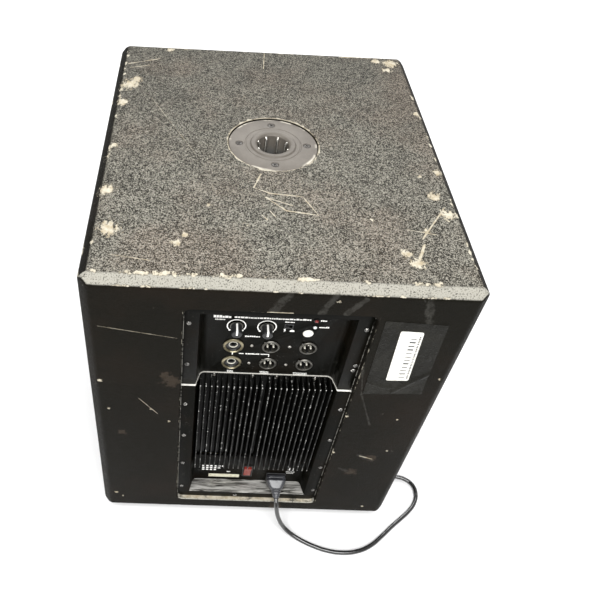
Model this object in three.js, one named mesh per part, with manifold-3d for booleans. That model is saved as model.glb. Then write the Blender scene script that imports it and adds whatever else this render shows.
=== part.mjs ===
// Powered live-sound subwoofer: chamfered plywood cabinet, 15-inch driver behind a steel grille,
// recessed amplifier plate on the rear, speaker-pole socket in the top, and its mains lead.
// Millimetres, +Z up. The origin is on the floor under the middle of the cabinet. The grille faces -Y
// and the amplifier faces +Y.
import * as THREE from 'three';
import { mergeVertices } from 'three/addons/utils/BufferGeometryUtils.js';
import { ConvexGeometry } from 'three/addons/geometries/ConvexGeometry.js';
import Module from 'manifold-3d';

// ---- Driving dimensions ------------------------------------------------------------------------
const GAP = 0.3; // left between pieces that touch
const CABINET = { width: 457, depth: 532, height: 536, chamfer: 12, panel: 18 };
const FOOT = { radius: 19, height: 10, insetX: 44, insetY: 44 };
const BAFFLE_RECESS = 30;
const BRACE = { front: 20, depth: 100, bottom: 200 };
const GRILLE = { thickness: 1.5, setBack: 2.0, sideGap: 1 };
const POLE_SOCKET = {
  flangeRadius: 60, flangeThickness: 4, recess: 1.6, collarRadius: 31, collarHeight: 1.6,
  boreRadius: 21.5, wall: 3.5, depth: 100, ribs: 8, ribHeight: 3.5, ribWidth: 4, screwCircle: 45.8,
};
const HANDLE = { width: 184, height: 94, depth: 45, wall: 3, lip: 10, lipThickness: 3, z: 330, bar: 20 };
const PORT = { bore: 38, wall: 2.5, length: 140, flange: 49, flangeThickness: 3, x: 150, z: 84 };
const DRIVER = { z: 325, flange: 193.5, hole: 178, rim: 150, neck: 40, coneDepth: 78 };
const PLATE = {
  halfWidth: 110.4, bottom: 46.6, top: 500.6, split: 348.25, corner: 10, recess: 8.6, sheet: 2,
  lowerProud: 2.5, windowHalf: 97, windowMargin: 10,
};
const TROUGH = { halfFace: 92, halfFloor: 88, depth: 20, fillet: 8, top: 486, bottom: 61 };
const FINS = { perGroup: 12, pitch: 7.3, middlePitch: 9.9, thickness: 1.9, bottom: 136.3, webHalf: 92 };
const KNOBS = { volume_knob: 46, crossover_knob: 9 };
const KNOB = { z: 444, radius: 7, height: 13.5, shaft: 3, chamfer: 1 };
const PHASE_SWITCH = { x: -17.5, z: 446.6, travel: 4, tab: 4 };
const LEDS = { clip_led: [-49, 459], limit_led: [-49, 447.4] };
const SOCKET_COLUMNS = [47, 0, -47];
const SOCKET_ROWS = [406, 372];
const POWER_SWITCH = { x: 0.5, z: 91, halfWidth: 6.1, halfHeight: 13.9, tilt: 8 };
const INLET = { x: -46, z: 75.5 };
const LEAD = { radius: 3.5, sides: 8, steps: 60 };
const COIL = { x: -283, y: 75, inner: 28, outer: 49, height: 14.2 };
const DRIVER_SIDES = 30;
// The lead's route from the plug in the inlet, down to the floor and round to the coil.
const LEAD_ROUTE = [
  [-46, 271.1, 67], [-46.4, 277.4, 62.6], [-47.8, 283, 54.2], [-50.2, 287, 43.8], [-54, 290.2, 33],
  [-60, 294, 22.4], [-69, 299, 13.2], [-81.5, 305.4, 6.8], [-96, 312.4, 4], [-112, 319.2, 3.6],
  [-130, 325, 3.6], [-154, 328.2, 3.6], [-180, 325.4, 3.6], [-203.4, 315.6, 3.6], [-224, 299.8, 3.6],
  [-244, 282.4, 3.6], [-262, 268, 3.6], [-278, 254.4, 3.6], [-290.4, 239.6, 3.6], [-296.6, 223, 3.6],
  [-294, 206.6, 3.6], [-282.4, 196, 3.6], [-266, 191, 3.6], [-250.6, 184, 3.6], [-240.6, 171, 3.6],
  [-237, 153, 3.6], [-237.2, 135, 3.6], [-237.4, 118, 3.6], [-237.5, 102.6, 3.6],
];

const halfW = CABINET.width / 2;
const halfD = CABINET.depth / 2;
const floorOfCabinet = FOOT.height;
const topOfCabinet = FOOT.height + CABINET.height;
const inner = {
  x: halfW - CABINET.panel,
  bottom: floorOfCabinet + CABINET.panel,
  top: topOfCabinet - CABINET.panel,
};
const baffleFront = -halfD + BAFFLE_RECESS;
const plateFace = halfD - PLATE.recess;

// ---- Materials -----------------------------------------------------------------------------------
function material(color, roughness, metalness = 0) {
  return new THREE.MeshStandardMaterial({ color, roughness, metalness });
}
const texturedPaint = material(0x3a3937, 0.75);
const blackPaint = material(0x1c1c1b, 0.6);
const rawBoard = material(0x9a7b55, 0.9);
const rubber = material(0x161616, 0.9);
const grilleSteel = material(0x191919, 0.55, 0.3);
const castGrey = material(0x77756f, 0.45, 0.7);
const steel = material(0x9c9a95, 0.35, 0.9);
const plateBlack = material(0x141414, 0.35, 0.2);
const anodised = material(0x101010, 0.35, 0.6);
const blackPlastic = material(0x181818, 0.5);
const paperCone = material(0x1b1a19, 0.85);
const clothBlack = material(0x1e1d1b, 0.9);
const ferrite = material(0x2b2b2d, 0.7);
const copper = material(0xb06a3a, 0.4, 0.8);
const boardGreen = material(0x1e4a2e, 0.6);
const redPlastic = material(0xb3261c, 0.4);
const brassRing = material(0xc9b98a, 0.3, 0.8);
const leadPvc = material(0x171717, 0.55);

// ---- Shape helpers -------------------------------------------------------------------------------
const wasm = await Module();
wasm.setup();

function solid(geometry) {
  const bare = geometry.clone();
  bare.deleteAttribute('normal');
  bare.deleteAttribute('uv');
  const merged = mergeVertices(bare, 1e-4);
  const position = merged.attributes.position;
  const corner = [0, 1, 2].map(() => new THREE.Vector3());
  const faces = [];
  let volume = 0;
  for (let i = 0; i < merged.index.count; i += 3) {
    const [a, b, c] = [0, 1, 2].map((k) => merged.index.getX(i + k));
    if (a === b || b === c || c === a) continue;
    [a, b, c].forEach((v, k) => corner[k].fromBufferAttribute(position, v));
    volume += corner[0].dot(corner[1].cross(corner[2]));
    faces.push([a, b, c]);
  }
  const outward = volume > 0 ? faces : faces.map(([a, b, c]) => [a, c, b]);
  return new wasm.Manifold(new wasm.Mesh({
    numProp: 3,
    vertProperties: new Float32Array(position.array),
    triVerts: new Uint32Array(outward.flat()),
  }));
}

function geometryOf(shape) {
  const mesh = shape.getMesh();
  const geometry = new THREE.BufferGeometry();
  geometry.setAttribute('position', new THREE.BufferAttribute(new Float32Array(mesh.vertProperties), 3));
  geometry.setIndex(new THREE.BufferAttribute(new Uint32Array(mesh.triVerts), 1));
  geometry.computeVertexNormals();
  return geometry;
}

function piece(name, shape, look) {
  const mesh = new THREE.Mesh(geometryOf(shape), look);
  mesh.name = name;
  return mesh;
}

function joined(shapes) {
  return shapes.reduce((whole, next) => whole.add(next));
}

function cut(shape, tools) {
  return tools.reduce((rest, tool) => rest.subtract(tool), shape);
}

// A box from its lowest to its highest corner.
function block([x0, y0, z0], [x1, y1, z1]) {
  const geometry = new THREE.BoxGeometry(x1 - x0, y1 - y0, z1 - z0);
  geometry.translate((x0 + x1) / 2, (y0 + y1) / 2, (z0 + z1) / 2);
  return solid(geometry);
}

const PLANES = {
  xy: [new THREE.Vector3(1, 0, 0), new THREE.Vector3(0, 1, 0), new THREE.Vector3(0, 0, 1)],
  xz: [new THREE.Vector3(1, 0, 0), new THREE.Vector3(0, 0, 1), new THREE.Vector3(0, -1, 0)],
  yz: [new THREE.Vector3(0, 1, 0), new THREE.Vector3(0, 0, 1), new THREE.Vector3(1, 0, 0)],
};

// An outline drawn in one plane and pushed along the plane's normal between two heights.
function pushed(outline, plane, from, to) {
  const geometry = new THREE.ExtrudeGeometry(outline, {
    depth: to - from, bevelEnabled: false, curveSegments: 4, steps: 1,
  });
  geometry.translate(0, 0, plane === 'xz' ? -to : from);
  geometry.applyMatrix4(new THREE.Matrix4().makeBasis(...PLANES[plane]));
  return solid(geometry);
}

function outlineOf(points) {
  return new THREE.Shape(points.map(([a, b]) => new THREE.Vector2(a, b)));
}

// A rectangle with a radius at each corner: [bottom left, bottom right, top right, top left].
function roundedRectangle(x0, y0, x1, y1, [bl, br, tr, tl]) {
  const shape = new THREE.Shape();
  shape.moveTo(x0 + bl, y0);
  shape.lineTo(x1 - br, y0);
  if (br) shape.absarc(x1 - br, y0 + br, br, -Math.PI / 2, 0);
  shape.lineTo(x1, y1 - tr);
  if (tr) shape.absarc(x1 - tr, y1 - tr, tr, 0, Math.PI / 2);
  shape.lineTo(x0 + tl, y1);
  if (tl) shape.absarc(x0 + tl, y1 - tl, tl, Math.PI / 2, Math.PI);
  shape.lineTo(x0, y0 + bl);
  if (bl) shape.absarc(x0 + bl, y0 + bl, bl, Math.PI, Math.PI * 1.5);
  return shape;
}

// A profile of [radius, height] points turned about the Y axis, or about Z.
function turned(profile, sides, axis = 'y') {
  const points = profile.map(([r, h]) => new THREE.Vector2(r, h));
  const onAxis = profile[0][0] === 0 && profile[profile.length - 1][0] === 0;
  if (!onAxis) points.push(points[0].clone());
  const geometry = new THREE.LatheGeometry(points, sides);
  if (axis === 'z') geometry.rotateX(Math.PI / 2);
  return solid(geometry);
}

function rod(radius, from, to, sides, axis = 'y') {
  return turned([[0, from], [radius, from], [radius, to], [0, to]], sides, axis);
}

function ring(innerRadius, outerRadius, from, to, sides, axis = 'y') {
  const section = [[innerRadius, from], [outerRadius, from], [outerRadius, to], [innerRadius, to]];
  return turned(section, sides, axis);
}

const part = new THREE.Group();

function group(x, y, z) {
  const set = new THREE.Group();
  set.position.set(x, y, z);
  part.add(set);
  return set;
}

// ---- Cabinet -------------------------------------------------------------------------------------
// A box whose twelve edges are all chamfered; every panel is a slab of it.
function chamferedBox() {
  const c = CABINET.chamfer;
  const octagon = (a0, b0, a1, b1) => outlineOf([
    [a0 + c, b0], [a1 - c, b0], [a1, b0 + c], [a1, b1 - c],
    [a1 - c, b1], [a0 + c, b1], [a0, b1 - c], [a0, b0 + c],
  ]);
  const alongZ = pushed(octagon(-halfW, -halfD, halfW, halfD), 'xy', floorOfCabinet, topOfCabinet);
  const alongY = pushed(octagon(-halfW, floorOfCabinet, halfW, topOfCabinet), 'xz', -halfD, halfD);
  const alongX = pushed(octagon(-halfD, floorOfCabinet, halfD, topOfCabinet), 'yz', -halfW, halfW);
  return alongZ.intersect(alongY).intersect(alongX);
}
const outside = chamferedBox();
const cabinet = group(0, 0, 0);

function slab(low, high) {
  return outside.intersect(block(low, high));
}

function socketHole() {
  const { flangeRadius, flangeThickness, recess, boreRadius, wall, screwCircle } = POLE_SOCKET;
  const rebate = topOfCabinet - recess - flangeThickness - GAP;
  const through = rod(boreRadius + wall + 1, inner.top - 1, topOfCabinet, 24, 'z');
  const screws = compass(4).map((angle) => (
    rod(2.4, inner.top - 1, topOfCabinet, 12, 'z')
      .translate([screwCircle * Math.cos(angle), screwCircle * Math.sin(angle), 0])
  ));
  return [rod(flangeRadius + 0.8, rebate, topOfCabinet + 1, 36, 'z'), through, ...screws];
}

// Evenly spaced angles round a circle, the first one along +X.
function compass(count) {
  return Array.from({ length: count }, (_, i) => (i * 2 * Math.PI) / count);
}

function handleCutOut(side) {
  const { width, height, wall, lip, lipThickness, z } = HANDLE;
  const hole = { y: width / 2 + wall + 1, z: height / 2 + wall + 1 };
  const rebate = { y: width / 2 + lip + 1, z: height / 2 + lip + 1 };
  const x0 = side > 0 ? inner.x - 1 : -halfW - 1;
  const lipStart = halfW - lipThickness - GAP;
  return [
    block([x0, -hole.y, z - hole.z], [x0 + CABINET.panel + 2, hole.y, z + hole.z]),
    block([side > 0 ? lipStart : -halfW - 1, -rebate.y, z - rebate.z],
      [side > 0 ? halfW + 1 : -lipStart, rebate.y, z + rebate.z]),
  ];
}

function rearCutOut() {
  const ledge = plateFace - PLATE.sheet - GAP;
  const r = PLATE.corner;
  const rebate = roundedRectangle(-PLATE.halfWidth - 0.6, PLATE.bottom - 0.6,
    PLATE.halfWidth + 0.6, PLATE.top + 0.6, [r, r, r, r]);
  return [
    pushed(rebate, 'xz', ledge, halfD + 1),
    block([-PLATE.windowHalf, halfD - CABINET.panel - 1, PLATE.bottom + PLATE.windowMargin],
      [PLATE.windowHalf, halfD, PLATE.top - PLATE.windowMargin]),
  ];
}

cabinet.add(piece('top_panel', cut(
  slab([-halfW, -halfD, inner.top], [halfW, halfD, topOfCabinet]), socketHole(),
), texturedPaint));
cabinet.add(piece('bottom_panel',
  slab([-halfW, -halfD, floorOfCabinet], [halfW, halfD, inner.bottom]), texturedPaint));
for (const [name, side] of [['left_panel', 1], ['right_panel', -1]]) {
  const [x0, x1] = side > 0 ? [inner.x, halfW] : [-halfW, -inner.x];
  cabinet.add(piece(name, cut(
    slab([x0, -halfD, inner.bottom + GAP], [x1, halfD, inner.top - GAP]), handleCutOut(side),
  ), texturedPaint));
}
cabinet.add(piece('rear_panel', cut(
  block([-inner.x + GAP, halfD - CABINET.panel, inner.bottom + GAP],
    [inner.x - GAP, halfD, inner.top - GAP]), rearCutOut(),
), texturedPaint));
cabinet.add(piece('front_baffle', cut(
  block([-inner.x + GAP, baffleFront, inner.bottom + GAP],
    [inner.x - GAP, baffleFront + CABINET.panel, inner.top - GAP]),
  [
    rod(DRIVER.hole, baffleFront - 1, baffleFront + CABINET.panel + 1, 40).translate([0, 0, DRIVER.z]),
    ...[-1, 1].map((side) => rod(PORT.bore + PORT.wall + 0.5, baffleFront - 1,
      baffleFront + CABINET.panel + 1, 24).translate([side * PORT.x, 0, PORT.z])),
  ],
), blackPaint));
cabinet.add(piece('cross_brace',
  block([-inner.x + GAP, BRACE.front, BRACE.bottom],
    [inner.x - GAP, BRACE.front + BRACE.depth, BRACE.bottom + CABINET.panel]), rawBoard));

// Rubber feet: slightly tapered discs screwed under the bottom panel.
compass(4).forEach((_, i) => {
  const foot = piece(`foot_${i + 1}`, turned([
    [0, 0], [FOOT.radius - 3, 0], [FOOT.radius, 2], [FOOT.radius, FOOT.height - GAP],
    [0, FOOT.height - GAP],
  ], 24, 'z'), rubber);
  foot.position.set((i % 2 ? -1 : 1) * (halfW - FOOT.insetX), (i < 2 ? -1 : 1) * (halfD - FOOT.insetY), 0);
  cabinet.add(foot);
});

// Reflex port tubes with a flange on the baffle's front.
for (const [name, side] of [['left_port_tube', 1], ['right_port_tube', -1]]) {
  const { bore, wall, length, flange, flangeThickness, x, z } = PORT;
  const tube = piece(name, turned([
    [bore, -flangeThickness - GAP], [flange, -flangeThickness - GAP], [flange, -GAP],
    [bore + wall, -GAP], [bore + wall, length], [bore, length],
  ], 24), blackPlastic);
  tube.position.set(side * x, baffleFront, z);
  cabinet.add(tube);
}

// Pressed steel grille: a shallow pan that fills the front recess, open towards the baffle.
function grille() {
  const front = -halfD + GRILLE.setBack;
  const x = inner.x - GRILLE.sideGap;
  const z0 = inner.bottom + GRILLE.sideGap;
  const z1 = inner.top - GRILLE.sideGap;
  const t = GRILLE.thickness;
  return block([-x, front, z0], [x, baffleFront - GAP, z1])
    .subtract(block([-x + t, front + t, z0 + t], [x - t, baffleFront, z1 - t]));
}
cabinet.add(piece('front_grille', grille(), grilleSteel));

// Moulded carrying handles: a pocket with a lip, and a grip bar across the pocket.
function handleCup() {
  const { width, height, depth, wall, lip, lipThickness, bar } = HANDLE;
  const y = width / 2;
  const z = height / 2;
  const shell = joined([
    block([-depth - wall, -y - wall, -z - wall], [0, y + wall, z + wall]),
    block([-lipThickness, -y - lip, -z - lip], [0, y + lip, z + lip]),
  ]).subtract(block([-depth, -y, -z], [1, y, z]));
  const grip = turned([[0, -y - 1], [bar / 2, -y - 1], [bar / 2, y + 1], [0, y + 1]], 12)
    .translate([-bar / 2 - 1, 0, z - bar - 6]);
  return shell.add(grip);
}
for (const [name, side] of [['left_handle', 1], ['right_handle', -1]]) {
  const handle = piece(name, handleCup(), blackPlastic);
  handle.position.set(side * halfW, 0, HANDLE.z);
  if (side < 0) handle.rotation.z = Math.PI;
  cabinet.add(handle);
}

// ---- Pole socket ---------------------------------------------------------------------------------
const COUNTERSINK = { head: 4.7, neck: 2.1, height: 2.6, length: 16 };

function screwBody(clearance) {
  const { head, neck, height, length } = COUNTERSINK;
  return turned([
    [0, -length - clearance], [neck + clearance, -length - clearance], [neck + clearance, -height],
    [head + clearance, 0], [head + clearance, clearance], [0, clearance],
  ], 12, 'z');
}

function poleSocket() {
  const s = POLE_SOCKET;
  const cup = turned([
    [0, -s.depth - s.wall], [s.boreRadius + s.wall, -s.depth - s.wall],
    [s.boreRadius + s.wall, -s.flangeThickness], [s.flangeRadius, -s.flangeThickness],
    [s.flangeRadius, -1], [s.flangeRadius - 1, 0], [s.collarRadius, 0],
    [s.collarRadius - 1.5, s.collarHeight], [s.boreRadius + 2, s.collarHeight],
    [s.boreRadius, s.collarHeight - 2], [s.boreRadius, -s.depth], [0, -s.depth],
  ], 36, 'z');
  const ribs = compass(s.ribs).map((angle) => (
    block([s.boreRadius - s.ribHeight, -s.ribWidth / 2, -s.depth - 1],
      [s.boreRadius + 1, s.ribWidth / 2, -2])
      .rotate([0, 0, THREE.MathUtils.radToDeg(angle) + 22.5])
  ));
  const sinks = compass(4).map((angle) => (
    screwBody(0.4).translate([s.screwCircle * Math.cos(angle), s.screwCircle * Math.sin(angle), -0.2])
  ));
  return cut(joined([cup, ...ribs]), sinks);
}
const socketGroup = group(0, 0, topOfCabinet - POLE_SOCKET.recess);
socketGroup.add(piece('pole_socket', poleSocket(), castGrey));
compass(4).forEach((angle, i) => {
  const screw = piece(`socket_screw_${i + 1}`, screwBody(0), steel);
  const circle = POLE_SOCKET.screwCircle;
  screw.position.set(circle * Math.cos(angle), circle * Math.sin(angle), -0.2);
  socketGroup.add(screw);
});

// ---- Driver --------------------------------------------------------------------------------------
// Everything is turned about the driver's own axis; y = 0 is the baffle's front and +Y goes inwards.
const driver = group(0, baffleFront, DRIVER.z);

// Height of the cone's front face at a radius: nearly straight, a little steeper near the neck.
function coneFace(radius) {
  const t = (DRIVER.rim - radius) / (DRIVER.rim - DRIVER.neck);
  return -5 + (DRIVER.coneDepth + 5) * (0.8 * t + 0.2 * t * t);
}

function basket() {
  const frame = turned([
    [176, -3.3], [DRIVER.flange, -3.3], [DRIVER.flange, -GAP], [177.5, -GAP], [173, 24],
    [99, 98], [97, 110.7], [52, 110.7], [52, 108.2], [94.5, 108.2], [96, 97], [170, 23],
  ], DRIVER_SIDES);
  const windows = compass(6).map((angle) => (
    block([100, 30, -36], [200, 88, 36]).rotate([0, THREE.MathUtils.radToDeg(angle), 0])
  ));
  return cut(frame, windows);
}

function surround() {
  const [r0, r1, r2] = [DRIVER.rim + GAP, 174, 190];
  const roll = (from, to, height, lift) => [0, 1, 2, 3, 4].map((i) => {
    const a = (i / 4) * Math.PI;
    return [(from + to) / 2 - ((to - from) / 2) * Math.cos(a), lift - height * Math.sin(a)];
  });
  const front = [...roll(r0 + 1, r1, 9, -4.6), [r2, -4.6]];
  const back = [[r2, -3.6], ...roll(r0 + 2, r1 - 1, 8, -3.6).reverse(), [r0, -3.6], [r0, -4.6]];
  return turned([...front, ...back], DRIVER_SIDES);
}

function cone() {
  const radii = [DRIVER.rim, 120, 90, 62, DRIVER.neck];
  const front = radii.map((r) => [r, coneFace(r)]);
  const back = radii.map((r) => [r, coneFace(r) + 1.8]).reverse();
  return turned([...front, ...back], DRIVER_SIDES);
}

function dustCap() {
  const base = 56;
  const rise = 16;
  const dome = (lift) => [0, 1, 2, 3].map((i) => {
    const r = (base * i) / 3;
    return [r, coneFace(base) - 1.6 - rise * Math.cos((i / 3) * Math.PI / 2) + lift];
  });
  return turned([...dome(0), ...dome(1.2).reverse()], 24);
}

function spider() {
  const radii = [40.3, 51, 62, 73, 84, 94];
  const wave = (r, i) => (i % 2 ? 1.5 : -1.5);
  const front = radii.map((r, i) => [r, 92 + wave(r, i)]);
  const back = radii.map((r, i) => [r, 92.8 + wave(r, i)]).reverse();
  return turned([...front, ...back], 20);
}

driver.add(piece('driver_basket', basket(), castGrey));
driver.add(piece('driver_gasket', ring(177, DRIVER.flange, -8, -4.9, DRIVER_SIDES), rubber));
driver.add(piece('driver_surround', surround(), clothBlack));
driver.add(piece('driver_cone', cone(), paperCone));
driver.add(piece('dust_cap', dustCap(), paperCone));
driver.add(piece('voice_coil', ring(37.2, 39.4, 70, 128, 24), copper));
driver.add(piece('driver_spider', spider(), clothBlack));
driver.add(piece('magnet_top_plate', ring(40.6, 82, 111, 119, 24), steel));
driver.add(piece('ferrite_magnet', ring(52, 96, 119.3, 141.3, 24), ferrite));
driver.add(piece('magnet_back_plate', turned([
  [12, 108], [36, 108], [36, 141.6], [82, 141.6], [82, 149.6], [12, 149.6],
], 24), steel));

// ---- Amplifier plate -----------------------------------------------------------------------------
// y = 0 is the upper plate's outer face and +Y points out of the back of the cabinet.
const amplifier = group(0, plateFace, 0);
const floorY = -TROUGH.depth;

// Section across the drawn trough, wider at the face than at the floor.
function troughSection(halfFace, faceY, halfFloor, bottomY, r) {
  const shape = new THREE.Shape();
  shape.moveTo(-halfFace, faceY);
  shape.lineTo(-halfFloor, bottomY + r);
  shape.absarc(-halfFloor + r, bottomY + r, r, Math.PI, Math.PI * 1.5);
  shape.lineTo(halfFloor - r, bottomY);
  shape.absarc(halfFloor - r, bottomY + r, r, Math.PI * 1.5, Math.PI * 2);
  shape.lineTo(halfFace, faceY);
  return shape;
}

function socketPlaces() {
  return SOCKET_COLUMNS.flatMap((x, column) => SOCKET_ROWS.map((z) => ({ x, z, column })));
}

function controlPanel() {
  const { halfWidth, split, top, corner, sheet } = PLATE;
  const { halfFace, halfFloor, fillet } = TROUGH;
  const wall = 1.6;
  const z0 = split + GAP / 2;
  const outline = roundedRectangle(-halfWidth, z0, halfWidth, top, [0, 0, corner, corner]);
  const plate = pushed(outline, 'xz', -sheet, 0);
  const drawn = pushed(troughSection(halfFace + wall, 0, halfFloor + wall, floorY - wall, fillet + wall),
    'xy', z0, TROUGH.top + wall);
  const hollow = pushed(troughSection(halfFace, 1, halfFloor, floorY, fillet), 'xy', z0 - 1, TROUGH.top);
  const through = (radius, x, z) => rod(radius, floorY - 3, floorY + 1, 16).translate([x, 0, z]);
  return cut(joined([plate, drawn]), [
    hollow,
    ...Object.values(KNOBS).map((x) => through(KNOB.shaft + 0.8, x, KNOB.z)),
    ...Object.values(LEDS).map(([x, z]) => through(2.8, x, z)),
    ...socketPlaces().map(({ x, z, column }) => through(column === 0 ? 12 : 10.5, x, z)),
    block([PHASE_SWITCH.x - 4.6, floorY - 3, PHASE_SWITCH.z - 2.4],
      [PHASE_SWITCH.x + 4.6, floorY + 1, PHASE_SWITCH.z + 2.4]),
  ]);
}
amplifier.add(piece('control_panel', controlPanel(), plateBlack));

function lowerPlate() {
  const { halfWidth, split, bottom, corner, sheet, lowerProud } = PLATE;
  const wall = 3;
  const z1 = split - GAP / 2;
  const plate = pushed(roundedRectangle(-halfWidth, bottom, halfWidth, z1, [corner, corner, 0, 0]),
    'xz', -sheet, lowerProud);
  const drawn = pushed(troughSection(TROUGH.halfFace + wall, lowerProud, TROUGH.halfFloor + wall,
    floorY - wall, TROUGH.fillet), 'xy', TROUGH.bottom - wall, z1);
  const hollow = pushed(troughSection(TROUGH.halfFace, lowerProud + 1, TROUGH.halfFloor, floorY,
    TROUGH.fillet), 'xy', TROUGH.bottom, z1 + 1);
  const finWindow = block(
    [-87.3, floorY - wall - 1, FINS.bottom - 0.8], [87.3, floorY + TROUGH.fillet + 1, z1 + 1],
  );
  const { x, z, halfWidth: w, halfHeight: h } = POWER_SWITCH;
  return cut(joined([plate, drawn]), [
    hollow, finWindow,
    block([x - w - 1.1, floorY - wall - 1, z - h - 1.3], [x + w + 1.1, floorY + 1, z + h + 1.3]),
    block([INLET.x - 13.6, floorY - wall - 1, INLET.z - 10.6], [INLET.x + 13.6, floorY + 1, INLET.z + 10.6]),
  ]);
}
amplifier.add(piece('lower_plate', lowerPlate(), plateBlack));

// Extruded heatsink: a web behind the plate and two groups of fins flush with the plate's face.
function finPlaces() {
  const first = FINS.middlePitch / 2;
  const side = Array.from({ length: FINS.perGroup }, (_, i) => first + i * FINS.pitch);
  return [...side.map((x) => -x).reverse(), ...side];
}

function heatsink() {
  const web = floorY - 3.7;
  const tip = PLATE.lowerProud - 0.5;
  const half = FINS.thickness / 2;
  const comb = finPlaces().flatMap((x) => [
    [x - half, web], [x - half + 0.2, tip - 0.4], [x, tip], [x + half - 0.2, tip - 0.4], [x + half, web],
  ]);
  const outline = [[-FINS.webHalf, web - 7.8], [-FINS.webHalf, web], ...comb, [FINS.webHalf, web],
    [FINS.webHalf, web - 7.8]];
  return pushed(outlineOf(outline.reverse()), 'xy', FINS.bottom, PLATE.split - 0.6);
}
amplifier.add(piece('heatsink', heatsink(), anodised));

// Folded steel cover over the electronics inside the cabinet, open towards the plate.
const COVER = { halfWidth: 94, bottom: 62, top: 484, back: -107, front: -32, sheet: 1.2 };
function amplifierCover() {
  const { halfWidth, bottom, top, back, front, sheet } = COVER;
  return block([-halfWidth, back, bottom], [halfWidth, front, top])
    .subtract(block(
      [-halfWidth + sheet, back + sheet, bottom + sheet], [halfWidth - sheet, front + 1, top - sheet],
    ));
}
amplifier.add(piece('amplifier_cover', amplifierCover(), steel));

const boardFace = -41.8;
const controlBack = -31; // where the pots and the slide switch end, behind the panel
function inputBoard() {
  const pots = Object.values(KNOBS).map((x) => (
    block([x - 8, boardFace - 0.5, KNOB.z - 8], [x + 8, controlBack, KNOB.z + 8])
  ));
  const { x, z } = PHASE_SWITCH;
  return joined([
    block([-80, boardFace - 1.6, 356], [80, boardFace, 480]), ...pots,
    block([x - 7, boardFace - 0.5, z - 4.5], [x + 7, controlBack, z + 4.5]),
  ]);
}
amplifier.add(piece('input_board', inputBoard(), boardGreen));

function mainBoard() {
  const parts = [[-60, 0, 236, 60, 26, 248], [-62, 0, 262, -38, 22, 286], [-26, 0, 262, -2, 22, 286],
    [10, 0, 264, 56, 14, 300], [-60, 0, 300, -20, 12, 330]];
  return joined([
    block([-75, -47, 165], [75, -45.4, 340]),
    ...parts.map(([x0, y0, z0, x1, y1, z1]) => block([x0, -46.5 - y1, z0], [x1, -46.5 + y0, z1])),
  ]);
}
amplifier.add(piece('power_board', mainBoard(), boardGreen));

const transformer = piece('toroidal_transformer', turned([
  [18, -46], [18, -88], [38, -88], [43, -82], [43, -52], [38, -46],
], 20), copper);
transformer.position.set(40, 0, 110);
amplifier.add(transformer);
[-38, 38].forEach((x, i) => {
  const capacitor = piece(`filter_capacitor_${i + 1}`, rod(15, -92, -47.3, 20), blackPlastic);
  capacitor.position.set(x, 0, 200);
  amplifier.add(capacitor);
});

// ---- Sockets, controls and lamps -----------------------------------------------------------------
const SOCKET_BACK = -41.5;
function comboSocket() {
  return turned([
    [0, SOCKET_BACK], [11.6, SOCKET_BACK], [11.6, floorY + GAP], [13, floorY + GAP],
    [13, -18.6], [12.2, -18.1],
    [9.6, -18.1], [9.3, -19.6], [3.3, -19.6], [3.3, -38], [0, -38],
  ], 20);
}

function outletSocket() {
  const shell = turned([
    [0, SOCKET_BACK], [10, SOCKET_BACK], [10, floorY + GAP], [11.4, floorY + GAP], [11.4, -18.6], [10.6, -18],
    [8.8, -18], [8.8, -32], [0, -32],
  ], 20);
  const pins = [[4.4, 90], [4.4, 210], [4.4, 330]].map(([radius, angle]) => {
    const a = THREE.MathUtils.degToRad(angle);
    return rod(1.2, -33, -21, 8).translate([radius * Math.cos(a), 0, radius * Math.sin(a)]);
  });
  return joined([shell, ...pins]);
}

socketPlaces().forEach(({ x, z, column }, i) => {
  const isInput = column === 0;
  const name = isInput ? `input_socket_${i + 1}` : `output_socket_${i - 1}`;
  const socket = piece(name, isInput ? comboSocket() : outletSocket(), isInput ? brassRing : steel);
  socket.position.set(x, 0, z);
  amplifier.add(socket);
});

const SHAFT_END = -30.7; // knob shafts and the slide tab reach in to here
function knob() {
  const { radius, height, shaft, chamfer } = KNOB;
  const base = floorY + 1.5;
  const cap = turned([
    [0, SHAFT_END], [shaft, SHAFT_END], [shaft, base], [radius, base],
    [radius - 0.6, base + height - chamfer],
    [radius - 1.6, base + height], [0, base + height],
  ], 24);
  const pointer = block([-0.8, base + 1, 2], [0.8, base + height + 0.5, radius + 0.7]);
  return cap.add(pointer);
}
for (const [name, x] of Object.entries(KNOBS)) {
  const mesh = piece(name, knob(), blackPlastic);
  mesh.position.set(x, 0, KNOB.z);
  amplifier.add(mesh);
}

const phaseTab = piece('phase_switch_tab',
  block([-PHASE_SWITCH.tab / 2, SHAFT_END, -1.8], [PHASE_SWITCH.tab / 2, -17.4, 1.8]), blackPlastic);
phaseTab.position.set(PHASE_SWITCH.x + PHASE_SWITCH.travel / 2, 0, PHASE_SWITCH.z);
amplifier.add(phaseTab);

const LED_COLORS = { clip_led: 0xd02020, limit_led: 0xe8efe8 };
for (const [name, [x, z]] of Object.entries(LEDS)) {
  const lamp = turned([
    [0, SOCKET_BACK], [1.2, SOCKET_BACK], [1.2, -30], [2.3, -30], [2.3, -19], [1.4, -17.8], [0, -17.5],
  ], 12);
  const mesh = piece(name, lamp, material(LED_COLORS[name], 0.3));
  mesh.position.set(x, 0, z);
  amplifier.add(mesh);
}

// Mains rocker switch: a moulded frame through the plate, and the rocker that tips inside it.
function switchFrame() {
  const { halfWidth: w, halfHeight: h } = POWER_SWITCH;
  return joined([
    block([-w - 0.8, -44, -h - 1], [w + 0.8, -19, h + 1]),
    block([-w - 2.1, floorY + GAP, -h - 2.5], [w + 2.1, -18.2, h + 2.5]),
  ]).subtract(block([-w, -38, -h], [w, -17, h]));
}

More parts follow.
